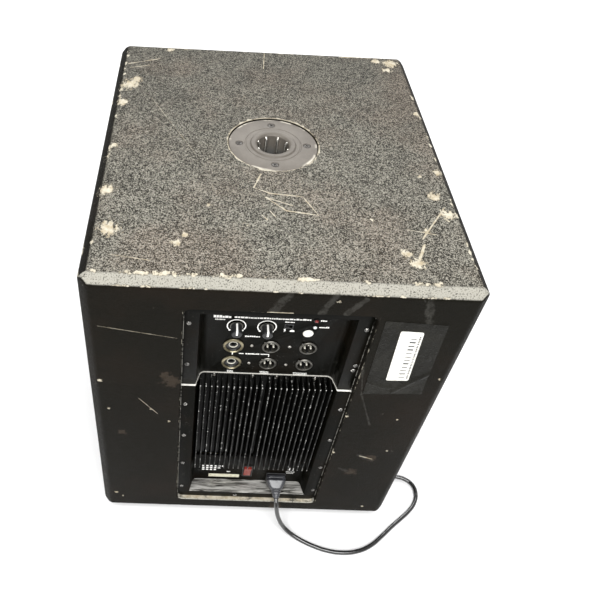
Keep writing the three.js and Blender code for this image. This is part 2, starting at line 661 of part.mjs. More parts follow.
function rocker() {
  const outline = outlineOf([[-3.5, -12.9], [3.8, -12.9], [1.8, 0], [3.8, 12.9], [-3.5, 12.9], [-6, 0]]);
  return pushed(outline, 'yz', -POWER_SWITCH.halfWidth + 0.4, POWER_SWITCH.halfWidth - 0.4);
}
const switchGroup = new THREE.Group();
switchGroup.position.set(POWER_SWITCH.x, 0, POWER_SWITCH.z);
switchGroup.add(piece('power_switch_frame', switchFrame(), blackPlastic));
const rockerMesh = piece('power_rocker', rocker(), redPlastic);
rockerMesh.position.y = -20.6;
rockerMesh.rotation.x = THREE.MathUtils.degToRad(-POWER_SWITCH.tilt);
switchGroup.add(rockerMesh);
amplifier.add(switchGroup);

// Mains inlet and the plug in it.
const INLET_PINS = [[-7, -2], [7, -2], [0, 2]];
function inletPins(clearance, back, front) {
  return INLET_PINS.map(([x, z]) => (
    block([x - 1 - clearance, back, z - 2 - clearance], [x + 1 + clearance, front, z + 2 + clearance])
  ));
}

function mainsInlet() {
  const body = joined([
    block([-13.2, -42, -10.2], [13.2, -19, 10.2]),
    block([-15.4, floorY + GAP, -12.4], [15.4, -17.9, 12.4]),
  ]).subtract(block([-12.4, -36, -8.6], [12.4, -17, 8.6]));
  return joined([body, ...inletPins(0, -36.5, -23)]);
}

const PLUG_TILT = 33;
function inletPlug() {
  const insert = block([-12, -35.4, -8.2], [12, -17, 8.2]);
  const grip = pushed(roundedRectangle(-15, -10, 15, 10, [4, 4, 4, 4]), 'xz', -17.5, -7.4);
  const reliefStart = [[-11, -7], [11, -7], [11, 7], [-11, 7]].map(([x, z]) => new THREE.Vector3(x, -8, z));
  const tilt = THREE.MathUtils.degToRad(PLUG_TILT);
  const end = new THREE.Vector3(0, 12.9, -8);
  const reliefEnd = compass(10).map((a) => new THREE.Vector3(
    4.6 * Math.cos(a),
    end.y + 4.6 * Math.sin(a) * Math.sin(tilt),
    end.z + 4.6 * Math.sin(a) * Math.cos(tilt),
  ));
  const relief = solid(new ConvexGeometry([...reliefStart, ...reliefEnd]));
  return cut(joined([insert, grip, relief]), inletPins(0.4, -36, -20.5));
}

const inletGroup = new THREE.Group();
inletGroup.position.set(INLET.x, 0, INLET.z);
inletGroup.add(piece('mains_inlet', mainsInlet(), blackPlastic));
inletGroup.add(piece('lead_plug', inletPlug(), leadPvc));
amplifier.add(inletGroup);

// ---- Mains lead ----------------------------------------------------------------------------------
function leadTube() {
  const section = new THREE.Shape();
  section.absarc(0, 0, LEAD.radius, 0, Math.PI * 2);
  const places = LEAD_ROUTE.map((p) => new THREE.Vector3(...p));
  const path = new THREE.CatmullRomCurve3(places, false, 'centripetal');
  return solid(new THREE.ExtrudeGeometry(section, {
    steps: LEAD.steps, bevelEnabled: false, extrudePath: path, curveSegments: LEAD.sides / 2,
  }));
}
const lead = group(0, 0, 0);
lead.add(piece('mains_lead', leadTube(), leadPvc));

const coil = piece('lead_coil', turned([
  [COIL.inner + 2, 0.1], [COIL.outer - 2, 0.1], [COIL.outer, 2], [COIL.outer, COIL.height - 2],
  [COIL.outer - 2, COIL.height], [COIL.inner + 2, COIL.height], [COIL.inner, COIL.height - 2],
  [COIL.inner, 2],
], 24, 'z'), leadPvc);
coil.position.set(COIL.x, COIL.y, 0);
lead.add(coil);

// The wall plug lies on the floor where the lead leaves the coil, its blades pointing away from it.
function wallPlug() {
  const relief = turned([[0, 0], [4.4, 0], [6.5, 22], [0, 22]], 10);
  const body = pushed(roundedRectangle(-13, -12, 13, 12, [5, 5, 5, 5]), 'xz', 21, 52);
  const blades = [-6.3, 6.3].map((x) => block([x - 0.8, 51, -1], [x + 0.8, 68, 5.4]));
  const earth = rod(2.4, 51, 69, 10).translate([0, 0, -6.6]);
  return joined([relief, body, ...blades, earth]);
}
const plugTurn = THREE.MathUtils.degToRad(-60);
const midTurn = COIL.outer - LEAD.radius;
const along = new THREE.Vector2(Math.sin(plugTurn), -Math.cos(plugTurn));
const plug = piece('wall_plug', wallPlug(), leadPvc);
plug.position.set(
  COIL.x + midTurn * Math.cos(plugTurn) + 27 * along.x,
  COIL.y + midTurn * Math.sin(plugTurn) + 27 * along.y,
  12.1,
);
plug.rotation.z = Math.atan2(-along.x, along.y);
lead.add(plug);

export default part;
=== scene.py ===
import math
import random

import bmesh
import bpy
from mathutils import Matrix, Vector


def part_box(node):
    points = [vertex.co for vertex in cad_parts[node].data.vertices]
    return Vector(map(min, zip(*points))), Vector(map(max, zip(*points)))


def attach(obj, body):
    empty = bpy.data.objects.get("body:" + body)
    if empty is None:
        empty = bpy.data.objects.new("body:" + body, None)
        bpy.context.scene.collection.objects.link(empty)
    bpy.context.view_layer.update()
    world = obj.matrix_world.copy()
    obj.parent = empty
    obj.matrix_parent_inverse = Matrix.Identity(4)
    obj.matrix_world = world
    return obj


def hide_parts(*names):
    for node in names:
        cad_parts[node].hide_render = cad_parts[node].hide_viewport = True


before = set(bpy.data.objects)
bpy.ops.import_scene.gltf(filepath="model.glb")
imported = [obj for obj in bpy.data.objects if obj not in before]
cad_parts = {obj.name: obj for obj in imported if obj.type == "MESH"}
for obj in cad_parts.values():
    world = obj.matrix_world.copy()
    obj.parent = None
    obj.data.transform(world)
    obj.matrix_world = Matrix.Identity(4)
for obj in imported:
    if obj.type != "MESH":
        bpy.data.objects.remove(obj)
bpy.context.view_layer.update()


def placed(name, data):
    """A new object in the scene."""
    made = bpy.data.objects.new(name, data)
    bpy.context.scene.collection.objects.link(made)
    return made


# ---- Camera ----
# It stands behind the cabinet, a little to the side of the amplifier and well above it, and looks down on
# the rear and the top. The lens is shifted sideways, so that the cabinet stands left of the middle.
EYE = Vector((0.1057, 0.7653, 1.0628))
SIGHT = Vector((-0.0258, -0.6904, -0.7230)).normalized()
ROLL = math.radians(3.9)

across = SIGHT.cross(Vector((0, 0, 1))).normalized()
upward = across.cross(SIGHT)
right = across * math.cos(ROLL) + upward * math.sin(ROLL)
above = upward * math.cos(ROLL) - across * math.sin(ROLL)
lens = bpy.data.cameras.new("camera")
lens.sensor_width = 36
lens.lens = 40.36
lens.shift_x = 0.1565
lens.shift_y = -0.022
camera = placed("camera", lens)
camera.matrix_world = Matrix.Translation(EYE) @ Matrix((right, above, -SIGHT)).transposed().to_4x4()
bpy.context.scene.camera = camera


# ---- Mains lead ----
# A round three-core lead in glossy black PVC, 1.8 m long. It bends down out of its plug, lies on the floor
# in a loose curve, and the rest is wound up beside the cabinet with a strap round it.
class Signal:
    """An output socket in a material. Sums and products of signals and numbers add Math nodes."""

    def __init__(self, socket):
        self.socket = socket

    def node(self, kind, settings=None, inputs=None, output=0):
        """A node of a kind: its settings are made first, then its sockets are filled or linked."""
        tree = self.socket.id_data
        made = tree.nodes.new(kind)
        for key, value in (settings or {}).items():
            setattr(made, key, value)
        for key, value in (inputs or {}).items():
            if isinstance(value, Signal):
                tree.links.new(value.socket, made.inputs[key])
            else:
                made.inputs[key].default_value = value
        return Signal(made.outputs[output])

    def math(self, operation, *values):
        return self.node("ShaderNodeMath", {"operation": operation}, dict(enumerate(values)))

    def __add__(self, other):
        return self.math("ADD", self, other)

    def __sub__(self, other):
        return self.math("SUBTRACT", self, other)

    def __rsub__(self, other):
        return self.math("SUBTRACT", other, self)

    def __mul__(self, other):
        return self.math("MULTIPLY", self, other)

    def __truediv__(self, other):
        return self.math("DIVIDE", self, other)

    __radd__ = __add__
    __rmul__ = __mul__

    def absolute(self):
        return self.math("ABSOLUTE", self)

    def least(self, other):
        return self.math("MINIMUM", self, other)

    def most(self, other):
        return self.math("MAXIMUM", self, other)

    def wave(self):
        return self.math("SINE", self)

    def rise(self, low, high, start=0.0, end=1.0):
        """Goes smoothly from start to end while this signal goes from low to high."""
        return self.node("ShaderNodeMapRange", {"interpolation_type": "SMOOTHSTEP"}, {
            "Value": self, "From Min": low, "From Max": high, "To Min": start, "To Max": end,
        })

    def blend(self, first, second):
        """The first colour where this signal is 0, the second where it is 1."""
        return self.node("ShaderNodeMix", {"data_type": "RGBA"}, {0: self, 6: first, 7: second}, output=2)

    def vector(self, operation, other):
        return self.node("ShaderNodeVectorMath", {"operation": operation}, {0: self, 1: other})

    def distance(self, other):
        return self.node("ShaderNodeVectorMath", {"operation": "DISTANCE"}, {0: self, 1: other}, output=1)

    def facing_up(self):
        """How far the surface faces upwards, from 0 for a wall to 1 for a top."""
        return self.node("ShaderNodeNewGeometry", output=1).axes()[2]

    def axes(self):
        """The X, Y and Z parts of a place."""
        return [self.node("ShaderNodeSeparateXYZ", None, {0: self}, output=i) for i in range(3)]

    def noise(self, scale, detail=2.0, rough=0.5, bend=0.0):
        return self.node("ShaderNodeTexNoise", None, {
            "Vector": self, "Scale": scale, "Detail": detail, "Roughness": rough, "Distortion": bend,
        })

    def cells(self, scale, feature="F1"):
        return self.node("ShaderNodeTexVoronoi", {"feature": feature}, {"Vector": self, "Scale": scale})


def begin(name):
    """A new material, and the place on the piece in metres, from which its patterns are worked out."""
    look = bpy.data.materials.new(name)
    look.use_nodes = True
    return look, Signal(look.node_tree.nodes.new("ShaderNodeTexCoord").outputs["Object"])


def colour(red, green, blue):
    return (red, green, blue, 1.0)


def grey(level):
    return colour(level, level, level)


def shade(look, height=None, depth=0.0, **sockets):
    """Fills the sockets of the shader, and cuts the height pattern so many metres into the surface."""
    shader = look.node_tree.nodes["Principled BSDF"]
    if height is not None:
        sockets["Normal"] = height.node("ShaderNodeBump", None, {"Height": height, "Distance": depth})
    for key, value in sockets.items():
        socket = shader.inputs[key.replace("_", " ")]
        if isinstance(value, Signal):
            look.node_tree.links.new(value.socket, socket)
        else:
            socket.default_value = value
    return look


def pvc(name, light, dark, roughness):
    """Flexible PVC: a smooth skin with faint long waves, and dust that dulls it in patches."""
    look, place = begin(name)
    dust = place.noise(60, 4, 0.6).rise(0.45, 0.8)
    waves = place.noise(180, 2)
    return shade(look, waves + place.noise(1600, 2) * 0.1, 0.0006,
                 Base_Color=dust.blend(dark, light), Roughness=roughness + dust * 0.16,
                 Specular_IOR_Level=0.8, Coat_Weight=0.6)


def mesh_of(built):
    """The mesh of a finished edit, with its faces turned outwards."""
    bmesh.ops.recalc_face_normals(built, faces=built.faces)
    mesh = bpy.data.meshes.new("mesh")
    built.to_mesh(mesh)
    built.free()
    return mesh


def angles(count, start=0.0):
    """Evenly spaced angles round a whole turn, the first being start steps on."""
    return [math.tau * (i + start) / count for i in range(count)]


def loft(rings, closed=False):
    """A skin over rings of points. Its ends are capped, or joined to each other when it is closed."""
    built = bmesh.new()
    rows = [[built.verts.new(point) for point in ring] for ring in rings]
    followers = rows[1:] + rows[:1] if closed else rows[1:]
    for row, following in zip(rows, followers):
        for i in range(len(row)):
            built.faces.new((row[i - 1], row[i], following[i], following[i - 1]))
    if not closed:
        built.faces.new(rows[0])
        built.faces.new(rows[-1])
    bmesh.ops.remove_doubles(built, verts=built.verts, dist=1e-7)
    return mesh_of(built)


def turned(profile, middle, axis="y", steps=48):
    """A profile of (radius, height) points turned about an axis through the middle, height being along it."""
    rings = []
    for radius, height in profile:
        circle = [(radius * math.cos(a), radius * math.sin(a)) for a in angles(steps)]
        if axis == "y":
            rings.append([(middle[0] + u, middle[1] + height, middle[2] + v) for u, v in circle])
        else:
            rings.append([(middle[0] + u, middle[1] + v, middle[2] + height) for u, v in circle])
    return loft(rings, closed=profile[0][0] > 0)


def soft(mesh, width, segments=2, sharper_than=30):
    """The same mesh with every sharp edge rounded, as moulding, paint or filing leaves it."""
    built = bmesh.new()
    built.from_mesh(mesh)
    bmesh.ops.remove_doubles(built, verts=built.verts, dist=1e-6)
    bmesh.ops.dissolve_limit(built, angle_limit=math.radians(1), verts=built.verts, edges=built.edges)
    sharp = [edge for edge in built.edges
             if len(edge.link_faces) == 2 and edge.calc_face_angle() > math.radians(sharper_than)]
    bmesh.ops.bevel(built, geom=sharp, offset=width, segments=segments, profile=0.5, affect="EDGES",
                    clamp_overlap=True)
    return mesh_of(built)


def piece(name, mesh, look, body="cabinet_body", stands_for=(), crease=35):
    """Puts a mesh, made in its place, on the body that it moves with, for the nodes that it stands for."""
    made = placed(name, mesh)
    mesh.materials.clear()
    mesh.materials.append(look)
    mesh.shade_smooth()
    mesh.set_sharp_from_angle(angle=math.radians(crease))
    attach(made, body)
    if stands_for:
        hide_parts(*stands_for)
    return made


def middle_of(node):
    low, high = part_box(node)
    return (low + high) / 2


def eased(share):
    share = min(max(share, 0.0), 1.0)
    return share * share * (3 - 2 * share)


LEAD = 0.007
ROUTE = [
    (-0.046, 0.2711, 0.067), (-0.0464, 0.2774, 0.0626), (-0.0478, 0.283, 0.0542), (-0.0502, 0.287, 0.0438),
    (-0.054, 0.2902, 0.033), (-0.06, 0.294, 0.0224), (-0.069, 0.299, 0.0132), (-0.0815, 0.3054, 0.0068),
    (-0.096, 0.3124, 0.004), (-0.112, 0.3192, 0.0036), (-0.13, 0.325, 0.0036), (-0.154, 0.3282, 0.0036),
    (-0.18, 0.3254, 0.0036), (-0.2034, 0.3156, 0.0036), (-0.224, 0.2998, 0.0036), (-0.244, 0.2824, 0.0036),
    (-0.262, 0.268, 0.0036), (-0.278, 0.2544, 0.0036), (-0.2904, 0.2396, 0.0036), (-0.2966, 0.223, 0.0036),
    (-0.294, 0.2066, 0.0036), (-0.2824, 0.196, 0.0036), (-0.266, 0.191, 0.0036), (-0.2506, 0.184, 0.0036),
    (-0.2406, 0.171, 0.0036), (-0.237, 0.153, 0.0036), (-0.2372, 0.135, 0.0036), (-0.2374, 0.118, 0.0036),
    (-0.2375, 0.1026, 0.0036), (-0.2375, 0.088, 0.0036),
]
COIL_TURNED = 1860  # degrees: three turns inwards on the floor, then back out on top of them
JOG_FROM = 300  # each turn shifts one track in its last sixth
TAIL = 0.027

coil_low, coil_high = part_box("lead_coil")
coil_middle = (coil_low + coil_high) / 2
outer_track = (coil_high.x - coil_low.x) / 2 - LEAD / 2


def coil_point(degrees):
    """Where the lead is after so many degrees of winding."""
    turns, within = divmod(degrees, 360)
    track = turns + eased((within - JOG_FROM) / (360 - JOG_FROM))
    climb = min(max(track - 2, 0), 1)
    radius = outer_track - LEAD * (min(track, 2) - max(track - 3, 0)) - 0.003 * math.sin(math.pi * climb)
    angle = math.radians(-degrees)
    return (coil_middle.x + radius * math.cos(angle), coil_middle.y + radius * math.sin(angle),
            LEAD / 2 + 0.0001 + LEAD * climb)


tail_angle = math.radians(-COIL_TURNED)
tail_way = Vector((math.sin(tail_angle), -math.cos(tail_angle), 0))
tail_start = Vector(coil_point(COIL_TURNED))
wall_plug_exit = tail_start + tail_way * TAIL
wall_plug_exit.z = middle_of("wall_plug").z
lead_points = ROUTE + [coil_point(degrees) for degrees in range(0, COIL_TURNED + 1, 20)]
lead_points += [tuple(tail_start.lerp(wall_plug_exit, share)) for share in (0.5, 1.0)]
lead_line = bpy.data.curves.new("mains_lead_line", "CURVE")
lead_line.dimensions = "3D"
lead_line.bevel_depth = LEAD / 2
lead_line.bevel_resolution = 5
lead_line.resolution_u = 6
lead_line.use_fill_caps = True
spline = lead_line.splines.new("BEZIER")
spline.bezier_points.add(len(lead_points) - 1)
for knot, point in zip(spline.bezier_points, lead_points):
    knot.co = point
    knot.handle_left_type = knot.handle_right_type = "AUTO"
lead_look = pvc("lead_pvc", colour(0.045, 0.045, 0.043), grey(0.009), 0.10)
lead = placed("lead_cable", lead_line)
lead_line.materials.append(lead_look)
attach(lead, "cabinet_body")
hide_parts("mains_lead", "lead_coil")


def oval(half_width, half_height, squareness, steps=40):
    """Points round an oval that is a circle at squareness 2 and nearly a rectangle at 10."""
    points = []
    for a in angles(steps):
        c, s = math.cos(a), math.sin(a)
        points.append((half_width * math.copysign(abs(c) ** (2 / squareness), c),
                       half_height * math.copysign(abs(s) ** (2 / squareness), s)))
    return points


# The plug at the appliance end: a moulded PVC body that fills the inlet, a grip, and a ribbed strain
# relief that is moulded on at a downward slant.
plate_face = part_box("control_panel")[1].y
inlet = middle_of("mains_inlet")
PLUG_SECTIONS = [  # out from the plate, up from the inlet, half width, half height, slant, squareness
    (-0.0352, 0, 0.0118, 0.0080, 0, 9), (-0.0176, 0, 0.0118, 0.0080, 0, 9),
    (-0.0175, 0, 0.0142, 0.0092, 0, 6), (-0.0166, 0, 0.0150, 0.0100, 0, 6),
    (-0.0130, 0, 0.0150, 0.0100, 0, 6), (-0.0124, 0, 0.0144, 0.0096, 0, 6),
    (-0.0114, 0, 0.0144, 0.0096, 0, 6), (-0.0108, 0, 0.0150, 0.0100, 0, 6),
    (-0.0080, 0, 0.0150, 0.0100, 0, 6), (-0.0066, 0, 0.0140, 0.0092, 0, 5),
    (-0.0020, -0.0010, 0.0116, 0.0078, 6, 4.5), (0.0010, -0.0019, 0.0098, 0.0070, 12, 4),
]
RELIEF_RIBS = 5
sections = list(PLUG_SECTIONS)
for i in range(RELIEF_RIBS * 4):
    along = i / (RELIEF_RIBS * 4 - 1)
    groove = 0.0007 * (i % 4 in (1, 2))
    sections.append((
        0.0020 + 0.0113 * along, -0.0023 - 0.0062 * along, 0.0086 - 0.0038 * along - groove,
        0.0066 - 0.0018 * along - groove, 15 + 18 * along, 3.6 - 1.6 * along,
    ))
rings = []
for out, up, half_width, half_height, slant, squareness in sections:
    slant = math.radians(slant)
    rings.append([(inlet.x + u, plate_face + out + v * math.sin(slant), inlet.z + up + v * math.cos(slant))
                  for u, v in oval(half_width, half_height, squareness)])
plug_look = pvc("plug_pvc", colour(0.038, 0.041, 0.052), colour(0.013, 0.014, 0.018), 0.36)
appliance_plug = piece("appliance_plug", loft(rings), plug_look, stands_for=["lead_plug"])

# The wall plug lies on its side past the coil: a moulded grip with finger ribs, two flat blades and an
# earth pin in plated brass.
side_way = tail_way.cross(Vector((0, 0, 1)))


def from_wall_plug(side, out, up):
    return wall_plug_exit + side_way * side + tail_way * out + Vector((0, 0, up))


WALL_PLUG_SECTIONS = [  # out along the plug, half width, half height, squareness
    (0.000, 0.0042, 0.0042, 2), (0.003, 0.0046, 0.0046, 2), (0.006, 0.0042, 0.0042, 2),
    (0.009, 0.0053, 0.0052, 2), (0.012, 0.0048, 0.0048, 2), (0.015, 0.0060, 0.0058, 2.2),
    (0.018, 0.0056, 0.0055, 2.2), (0.021, 0.0072, 0.0068, 2.6), (0.024, 0.0105, 0.0098, 3.4),
    (0.027, 0.0125, 0.0116, 4.2), (0.031, 0.0122, 0.0113, 4.4), (0.034, 0.0127, 0.0117, 4.4),
    (0.038, 0.0123, 0.0113, 4.6), (0.042, 0.0128, 0.0118, 4.6), (0.050, 0.0130, 0.0119, 5),
    (0.052, 0.0124, 0.0113, 5),
]
rings = [[from_wall_plug(u, out, v) for u, v in oval(half_width, half_height, squareness)]
         for out, half_width, half_height, squareness in WALL_PLUG_SECTIONS]
wall_plug = piece("wall_plug_grip", loft(rings), plug_look, stands_for=["wall_plug"])


def plated(name, tint, roughness, scratch=0.12):
    """Plated metal: fine scratches one way, faint cloudy stains and a soft ripple."""
    look, place = begin(name)
    stain = place.noise(90, 4, 0.65).rise(0.35, 0.75)
    scratches = place.noise(900, 3, 0.7, 1.5).rise(0.52, 0.66)
    darker = colour(tint[0] * 0.55, tint[1] * 0.53, tint[2] * 0.5)
    return shade(look, scratches, 0.00003, Base_Color=stain.blend(tint, darker), Metallic=1.0,
                 Roughness=roughness + scratches * scratch + stain * 0.12)


steel_look = plated("plain_steel", colour(0.62, 0.60, 0.56), 0.24)
pin_look = plated("pin_plating", colour(0.78, 0.74, 0.62), 0.2)
BLADE = [(-0.0063, 0.0022, 0.0008, 0.0032), (0.0063, 0.0022, 0.0008, 0.0032), (0, -0.0066, 0.0023, 0.0023)]
blades = bmesh.new()
for side, up, half_width, half_height in BLADE:
    shape = loft([[from_wall_plug(side + u * share, out, up + v * share)
                   for u, v in oval(half_width, half_height, 2 if side == 0 else 8, 20)]
                  for out, share in ((0.0515, 1.0), (0.066, 1.0), (0.0675, 0.8), (0.068, 0.5))])
    blades.from_mesh(shape)
plug_blades = piece("wall_plug_blades", mesh_of(blades), pin_look)

# A hook-and-loop strap round the coil keeps its turns together.
STRAP_ANGLE = math.radians(160)
STRAP_HALF_WIDTH = 0.006
STRAP_THICKNESS = 0.0009
outward = Vector((math.cos(STRAP_ANGLE), math.sin(STRAP_ANGLE), 0))
round_coil = Vector((-outward.y, outward.x, 0))
strap_middle = coil_middle + outward * (outer_track - LEAD)
rings = []
for shift in (-STRAP_HALF_WIDTH, STRAP_HALF_WIDTH):
    for extra in (0, STRAP_THICKNESS) if shift < 0 else (STRAP_THICKNESS, 0):
        rings.append([strap_middle + round_coil * shift + outward * u + Vector((0, 0, v))
                      for u, v in oval(LEAD * 1.5 + 0.0002 + extra, LEAD - 0.0007 + extra, 5)])
strap_look, place = begin("strap_weave")
weave = place.noise(2600, 2) + place.cells(1300) * 0.6
shade(strap_look, weave, 0.0005, Base_Color=weave.rise(0.3, 1.2).blend(grey(0.012), grey(0.05)),
      Roughness=0.9, Sheen_Weight=0.3)
coil_strap = piece("coil_strap", loft(rings, closed=True), strap_look)


# ---- Cabinet ----
# Birch plywood panels, glued, chamfered on all twelve edges and sprayed with a speckled textured paint.
# Years of handling have worn the paint to beige wood along the edges and chipped and scratched its faces.
CHAMFER = 0.012
REBATE_HALF = 0.1114
PANEL = 0.018
cabinet_low = Vector((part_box("right_panel")[0].x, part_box("bottom_panel")[0].y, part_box("bottom_panel")[0].z))
cabinet_high = Vector((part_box("left_panel")[1].x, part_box("rear_panel")[1].y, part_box("top_panel")[1].z))
plate_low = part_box("lower_plate")[0]
plate_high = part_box("control_panel")[1]
socket_low, socket_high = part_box("pole_socket")
flange_radius = socket_high.x
handle_low, handle_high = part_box("left_handle")


def box_mesh(low, high):
    """A plain box between two corners, for cutting with or for rounding afterwards."""
    return loft([[(x, y, z) for x, y in ((low[0], low[1]), (high[0], low[1]), (high[0], high[1]),
                                         (low[0], high[1]))] for z in (low[2], high[2])])


def chamfered_box(low, high, cut):
    """A box with all twelve edges chamfered, as the hull of its corner points."""
    built = bmesh.new()
    middle, half = (low + high) / 2, (high - low) / 2
    for sx in (-1, 1):
        for sy in (-1, 1):
            for sz in (-1, 1):
                for back in ((0, cut, cut), (cut, 0, cut), (cut, cut, 0), (cut / 2, cut / 2, cut / 2)):
                    built.verts.new((middle.x + sx * (half.x - back[0]), middle.y + sy * (half.y - back[1]),
                                     middle.z + sz * (half.z - back[2])))
    bmesh.ops.convex_hull(built, input=built.verts)
    return mesh_of(built)


def carved(mesh, cutters):
    """The mesh with every cutter taken out of it."""
    stock = placed("stock", mesh)
    helpers = [stock]
    for cutter in cutters:
        tool = placed("tool", cutter)
        helpers.append(tool)
        cutting = stock.modifiers.new("cut", "BOOLEAN")
        cutting.object = tool
        cutting.operation = "DIFFERENCE"
        cutting.solver = "EXACT"
    bpy.context.view_layer.update()
    result = bpy.data.meshes.new_from_object(stock.evaluated_get(bpy.context.evaluated_depsgraph_get()))
    for helper in helpers:
        bpy.data.objects.remove(helper)
    return result


def rounded_outline(low_x, low_z, high_x, high_z, radius, corner_steps=8):
    """Points round a rectangle with rounded corners, anticlockwise from its lower right."""
    points = []
    for quarter, (x, z) in enumerate(((high_x - radius, low_z + radius), (high_x - radius, high_z - radius),
                                      (low_x + radius, high_z - radius), (low_x + radius, low_z + radius))):
        for i in range(corner_steps + 1):
            angle = math.tau / 4 * (quarter - 1 + i / corner_steps)
            points.append((x + radius * math.cos(angle), z + radius * math.sin(angle)))
    return points


def flared_cutter(grow, depth_from, depth_to, radius):
    """A cutter for the plate's rebate, flared at the surface so that it leaves a filed edge."""
    rings = []
    for y, extra in ((depth_from, 0), (depth_to - 0.0012, 0), (depth_to + 0.0012, 0.0024)):
        outline = rounded_outline(plate_low.x - grow - extra, plate_low.z - grow - extra,
                                  plate_high.x + grow + extra, plate_high.z + grow + extra, radius + extra)
        rings.append([(x, y, z) for x, z in outline])
    return loft(rings)


def lip_cutter(side):
    """The shallow rebate for a handle's lip, and the hole behind it for the cup."""
    outer = cabinet_high.x * side
    cutters = []
    for depth, beyond, grow in ((0.0034, 0.01, 0.0008), (0.03, 0.0, -0.006)):
        near, far = sorted((outer - side * depth, outer + side * beyond))
        cutters.append(box_mesh((near, handle_low.y - grow, handle_low.z - grow),
                                (far, handle_high.y + grow, handle_high.z + grow)))
    return cutters


shell = soft(chamfered_box(cabinet_low, cabinet_high, CHAMFER), 0.0032, 3)
cavity = box_mesh((cabinet_low.x + PANEL, cabinet_low.y - 0.01, cabinet_low.z + PANEL),
                  (cabinet_high.x - PANEL, cabinet_high.y - PANEL, cabinet_high.z - PANEL))
rebate = flared_cutter(0.0006, plate_face - 0.0023, cabinet_high.y, 0.0106)
WINDOW_HALF = 0.097
window = box_mesh((-WINDOW_HALF, cabinet_high.y - 0.03, plate_low.z + 0.0099),
                  (WINDOW_HALF, cabinet_high.y, plate_high.z - 0.0044))
socket_axis = (0, 0, cabinet_high.z)
seat = turned([(0, -0.0059), (flange_radius + 0.0008, -0.0059), (flange_radius + 0.0008, -0.0006),
               (flange_radius + 0.0022, 0.001), (0, 0.001)], socket_axis, "z", 96)
socket_hole = turned([(0, -0.03), (0.026, -0.03), (0.026, 0.001), (0, 0.001)], socket_axis, "z", 64)
shell = carved(shell, [cavity, rebate, window, seat, socket_hole, *lip_cutter(1), *lip_cutter(-1)])


def worn_spots(place, spots, ragged):
    """Rises to 1 inside each spot: a place and a radius, with a ragged outline."""
    mask = None
    for x, y, z, radius in spots:
        inside = ((ragged - 0.5) * 5.0 + 1.0 - place.distance((x, y, z)) / radius).rise(0.0, 0.2)
        mask = inside if mask is None else mask.most(inside)
    return mask


def scratches_along(place, lines, ragged):
    """Rises to 1 along each line between two places: the ends and its half width."""
    mask = None
    for start, end, half_width in lines:
        way = Vector(end) - Vector(start)
        from_start = place.vector("SUBTRACT", start)
        share = from_start.node("ShaderNodeVectorMath", {"operation": "DOT_PRODUCT"},
                                {0: from_start, 1: way / way.length_squared}, output=1)
        share = share.node("ShaderNodeClamp", None, {0: share})
        nearest = share.node("ShaderNodeVectorMath", {"operation": "SCALE"}, {0: tuple(way), 3: share})
        inside = (ragged * 3.0 - from_start.distance(nearest) / half_width).rise(0.55, 0.95)
        mask = inside if mask is None else mask.most(inside)
    return mask


rear = cabinet_high.y
top = cabinet_high.z
REAR_CHIPS = [  # across, up and radius of chips down to pale wood or undercoat
    (0.213, 0.361, 0.003), (0.2049, 0.2983, 0.0022), (0.1256, 0.2723, 0.0022), (0.15, 0.3, 0.0012),
    (-0.182, 0.296, 0.0018), (-0.2115, 0.39, 0.0022), (-0.188, 0.2147, 0.0018), (0.207, 0.061, 0.0026),
    (0.197, 0.05, 0.0018), (-0.113, 0.3, 0.0022), (-0.112, 0.205, 0.0026), (-0.06, 0.5245, 0.0022),
    (-0.19, 0.04, 0.0024),
]
TOP_CHIPS = [  # across, backwards and radius
    (0.205, -0.135, 0.013), (0.196, -0.15, 0.009), (0.21, -0.085, 0.009), (0.212, 0.115, 0.01),
    (0.2, 0.185, 0.013), (0.122, 0.205, 0.006), (0.112, 0.19, 0.004), (-0.15, 0.222, 0.009),
    (-0.141, 0.206, 0.007), (-0.196, 0.1, 0.009), (-0.205, 0.135, 0.01), (-0.2, -0.236, 0.012),
    (-0.192, -0.215, 0.007), (-0.178, -0.242, 0.008), (0.15, -0.246, 0.006), (-0.212, 0.05, 0.006),
    (-0.213, -0.09, 0.005), (-0.186, 0.06, 0.003), (0.085, 0.135, 0.003), (-0.11, 0.15, 0.003),
    (-0.172, 0.165, 0.004), (0.04, 0.17, 0.002), (0.211, 0.02, 0.005),
]
BROWN_SPOTS = [  # across, up and radius, where the black of the rear has rubbed through to brown
    (0.124, 0.3654, 0.012), (0.132, 0.378, 0.007), (-0.17, 0.1936, 0.009), (-0.149, 0.1506, 0.008),
    (0.19, 0.24, 0.006), (-0.05, 0.03, 0.01),
]
REAR_SCRATCHES = [  # from and to, each across and up, and half width
    (-0.012, 0.5025, 0.016, 0.5022, 0.0013), (0.02, 0.502, 0.034, 0.502, 0.0006),
    (0.209, 0.4676, 0.117, 0.4507, 0.00035), (0.165, 0.3247, 0.1405, 0.29, 0.0005),
    (-0.107, 0.05, -0.02, 0.047, 0.0004), (-0.172, 0.19, -0.152, 0.198, 0.0009),
]
